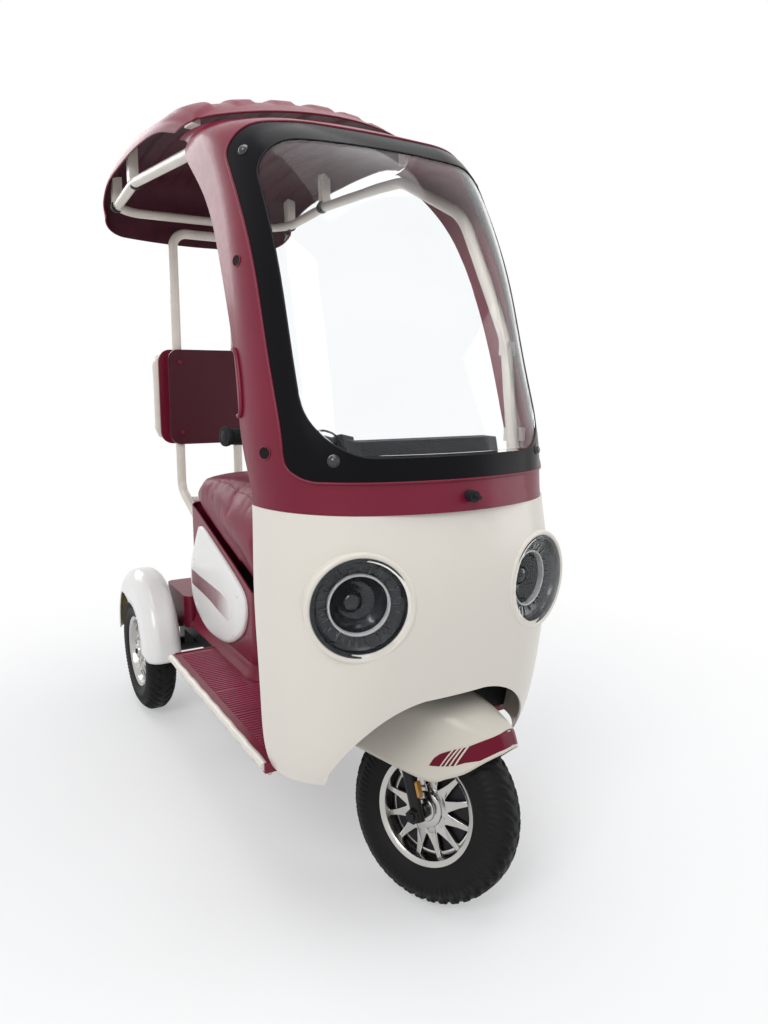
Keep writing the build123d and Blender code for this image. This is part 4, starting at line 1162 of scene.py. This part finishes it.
# ---------------------------------------------------------------- stage
def white_to_eyes(nodes, links):
    """1 for camera, mirror and glass rays, and 0 for the light that falls on the object."""
    path = nodes.new("ShaderNodeLightPath")
    seen = path.outputs["Is Camera Ray"]
    for ray in ("Is Glossy Ray", "Is Transmission Ray"):
        either = nodes.new("ShaderNodeMath")
        either.operation = "MAXIMUM"
        links.new(seen, either.inputs[0])
        links.new(path.outputs[ray], either.inputs[1])
        seen = either.outputs[0]
    return seen


FLOOR_REACH = 14
floor_mesh = bpy.data.meshes.new("floor")
corners = [(x * FLOOR_REACH, y * FLOOR_REACH, 0) for x, y in ((-1, -1), (1, -1), (1, 1), (-1, 1))]
floor_mesh.from_pydata(corners, [], [(0, 1, 2, 3)])
floor = new_object("floor", floor_mesh)
floor_look, fn, fl, fb = new_material("floor_white")
set_inputs(fb, Base_Color=(0.86, 0.86, 0.86, 1), Roughness=0.9, Specular_IOR_Level=0.1)
# The floor turns to plain white with distance from the object.
reach = in_place(fn, fl, "ShaderNodeVectorMath")
reach.operation = "LENGTH"
spread = fn.new("ShaderNodeMapRange")
spread.interpolation_type = "SMOOTHSTEP"
set_inputs(spread, From_Min=0.8, From_Max=2.2, To_Min=0.36, To_Max=1.0)
fl.new(reach.outputs["Value"], spread.inputs["Value"])
share = fn.new("ShaderNodeMath")
share.operation = "MULTIPLY"
fl.new(white_to_eyes(fn, fl), share.inputs[0])
fl.new(spread.outputs[0], share.inputs[1])
glow = set_inputs(fn.new("ShaderNodeEmission"), Strength=1.0)
mix_shaders(fn, fl, share.outputs[0], fb, glow, "Material Output")
floor_mesh.materials.append(floor_look)

world = bpy.data.worlds.new("studio")
scene.world = world
world.use_nodes = True
wn, wl = world.node_tree.nodes, world.node_tree.links
back = set_inputs(wn["Background"], Color=(0.93, 0.96, 1.0, 1), Strength=0.55)
shown = set_inputs(wn.new("ShaderNodeBackground"), Color=(1, 1, 1, 1), Strength=1.0)
mix_shaders(wn, wl, white_to_eyes(wn, wl), back, shown, "World Output")


def area_light(name, place, target, size, power):
    data = bpy.data.lights.new(name, "AREA")
    data.shape = "RECTANGLE"
    data.size, data.size_y = size
    data.energy = power
    light = new_object(name, data)
    light.location = place
    light.rotation_euler = (Vector(target) - Vector(place)).to_track_quat("-Z", "Y").to_euler()


area_light("key", (-3.2, -2.6, 3.6), (0, 0, 0.8), (2.2, 2.2), 92)
area_light("top", (0.2, -0.4, 4.4), (0, 0, 0.6), (3.0, 3.0), 66)
area_light("fill", (3.6, -2.2, 1.8), (0, -0.2, 0.7), (2.0, 2.4), 30)
area_light("rear", (-1.0, 3.8, 2.6), (0, 0.2, 0.8), (2.4, 2.0), 40)

# ---------------------------------------------------------------- camera
CAMERA_PLACE = (-0.849273, AXLE_Y - 1.238684, 1.107842)
CAMERA_YAW, CAMERA_PITCH, CAMERA_ROLL = (radians(a) for a in (-30.634, 10.235, 0.486))
FOCAL_PIXELS = 766.67
IMAGE_HEIGHT = 1024
camera_data = bpy.data.cameras.new("camera")
camera_data.sensor_width = 36.0
camera_data.lens = FOCAL_PIXELS * camera_data.sensor_width / IMAGE_HEIGHT
camera = new_object("camera", camera_data)
ahead = Vector((-sin(CAMERA_YAW) * cos(CAMERA_PITCH), cos(CAMERA_YAW) * cos(CAMERA_PITCH),
                -sin(CAMERA_PITCH)))
right = Vector((cos(CAMERA_YAW), sin(CAMERA_YAW), 0))
up = right.cross(ahead)
c, s = cos(CAMERA_ROLL), sin(CAMERA_ROLL)
right, up = c * right + s * up, c * up - s * right
turn = Matrix((right, up, -ahead)).transposed()
camera.matrix_world = Matrix.Translation(CAMERA_PLACE) @ turn.to_4x4()
scene.camera = camera
scene.view_settings.view_transform = "Standard"
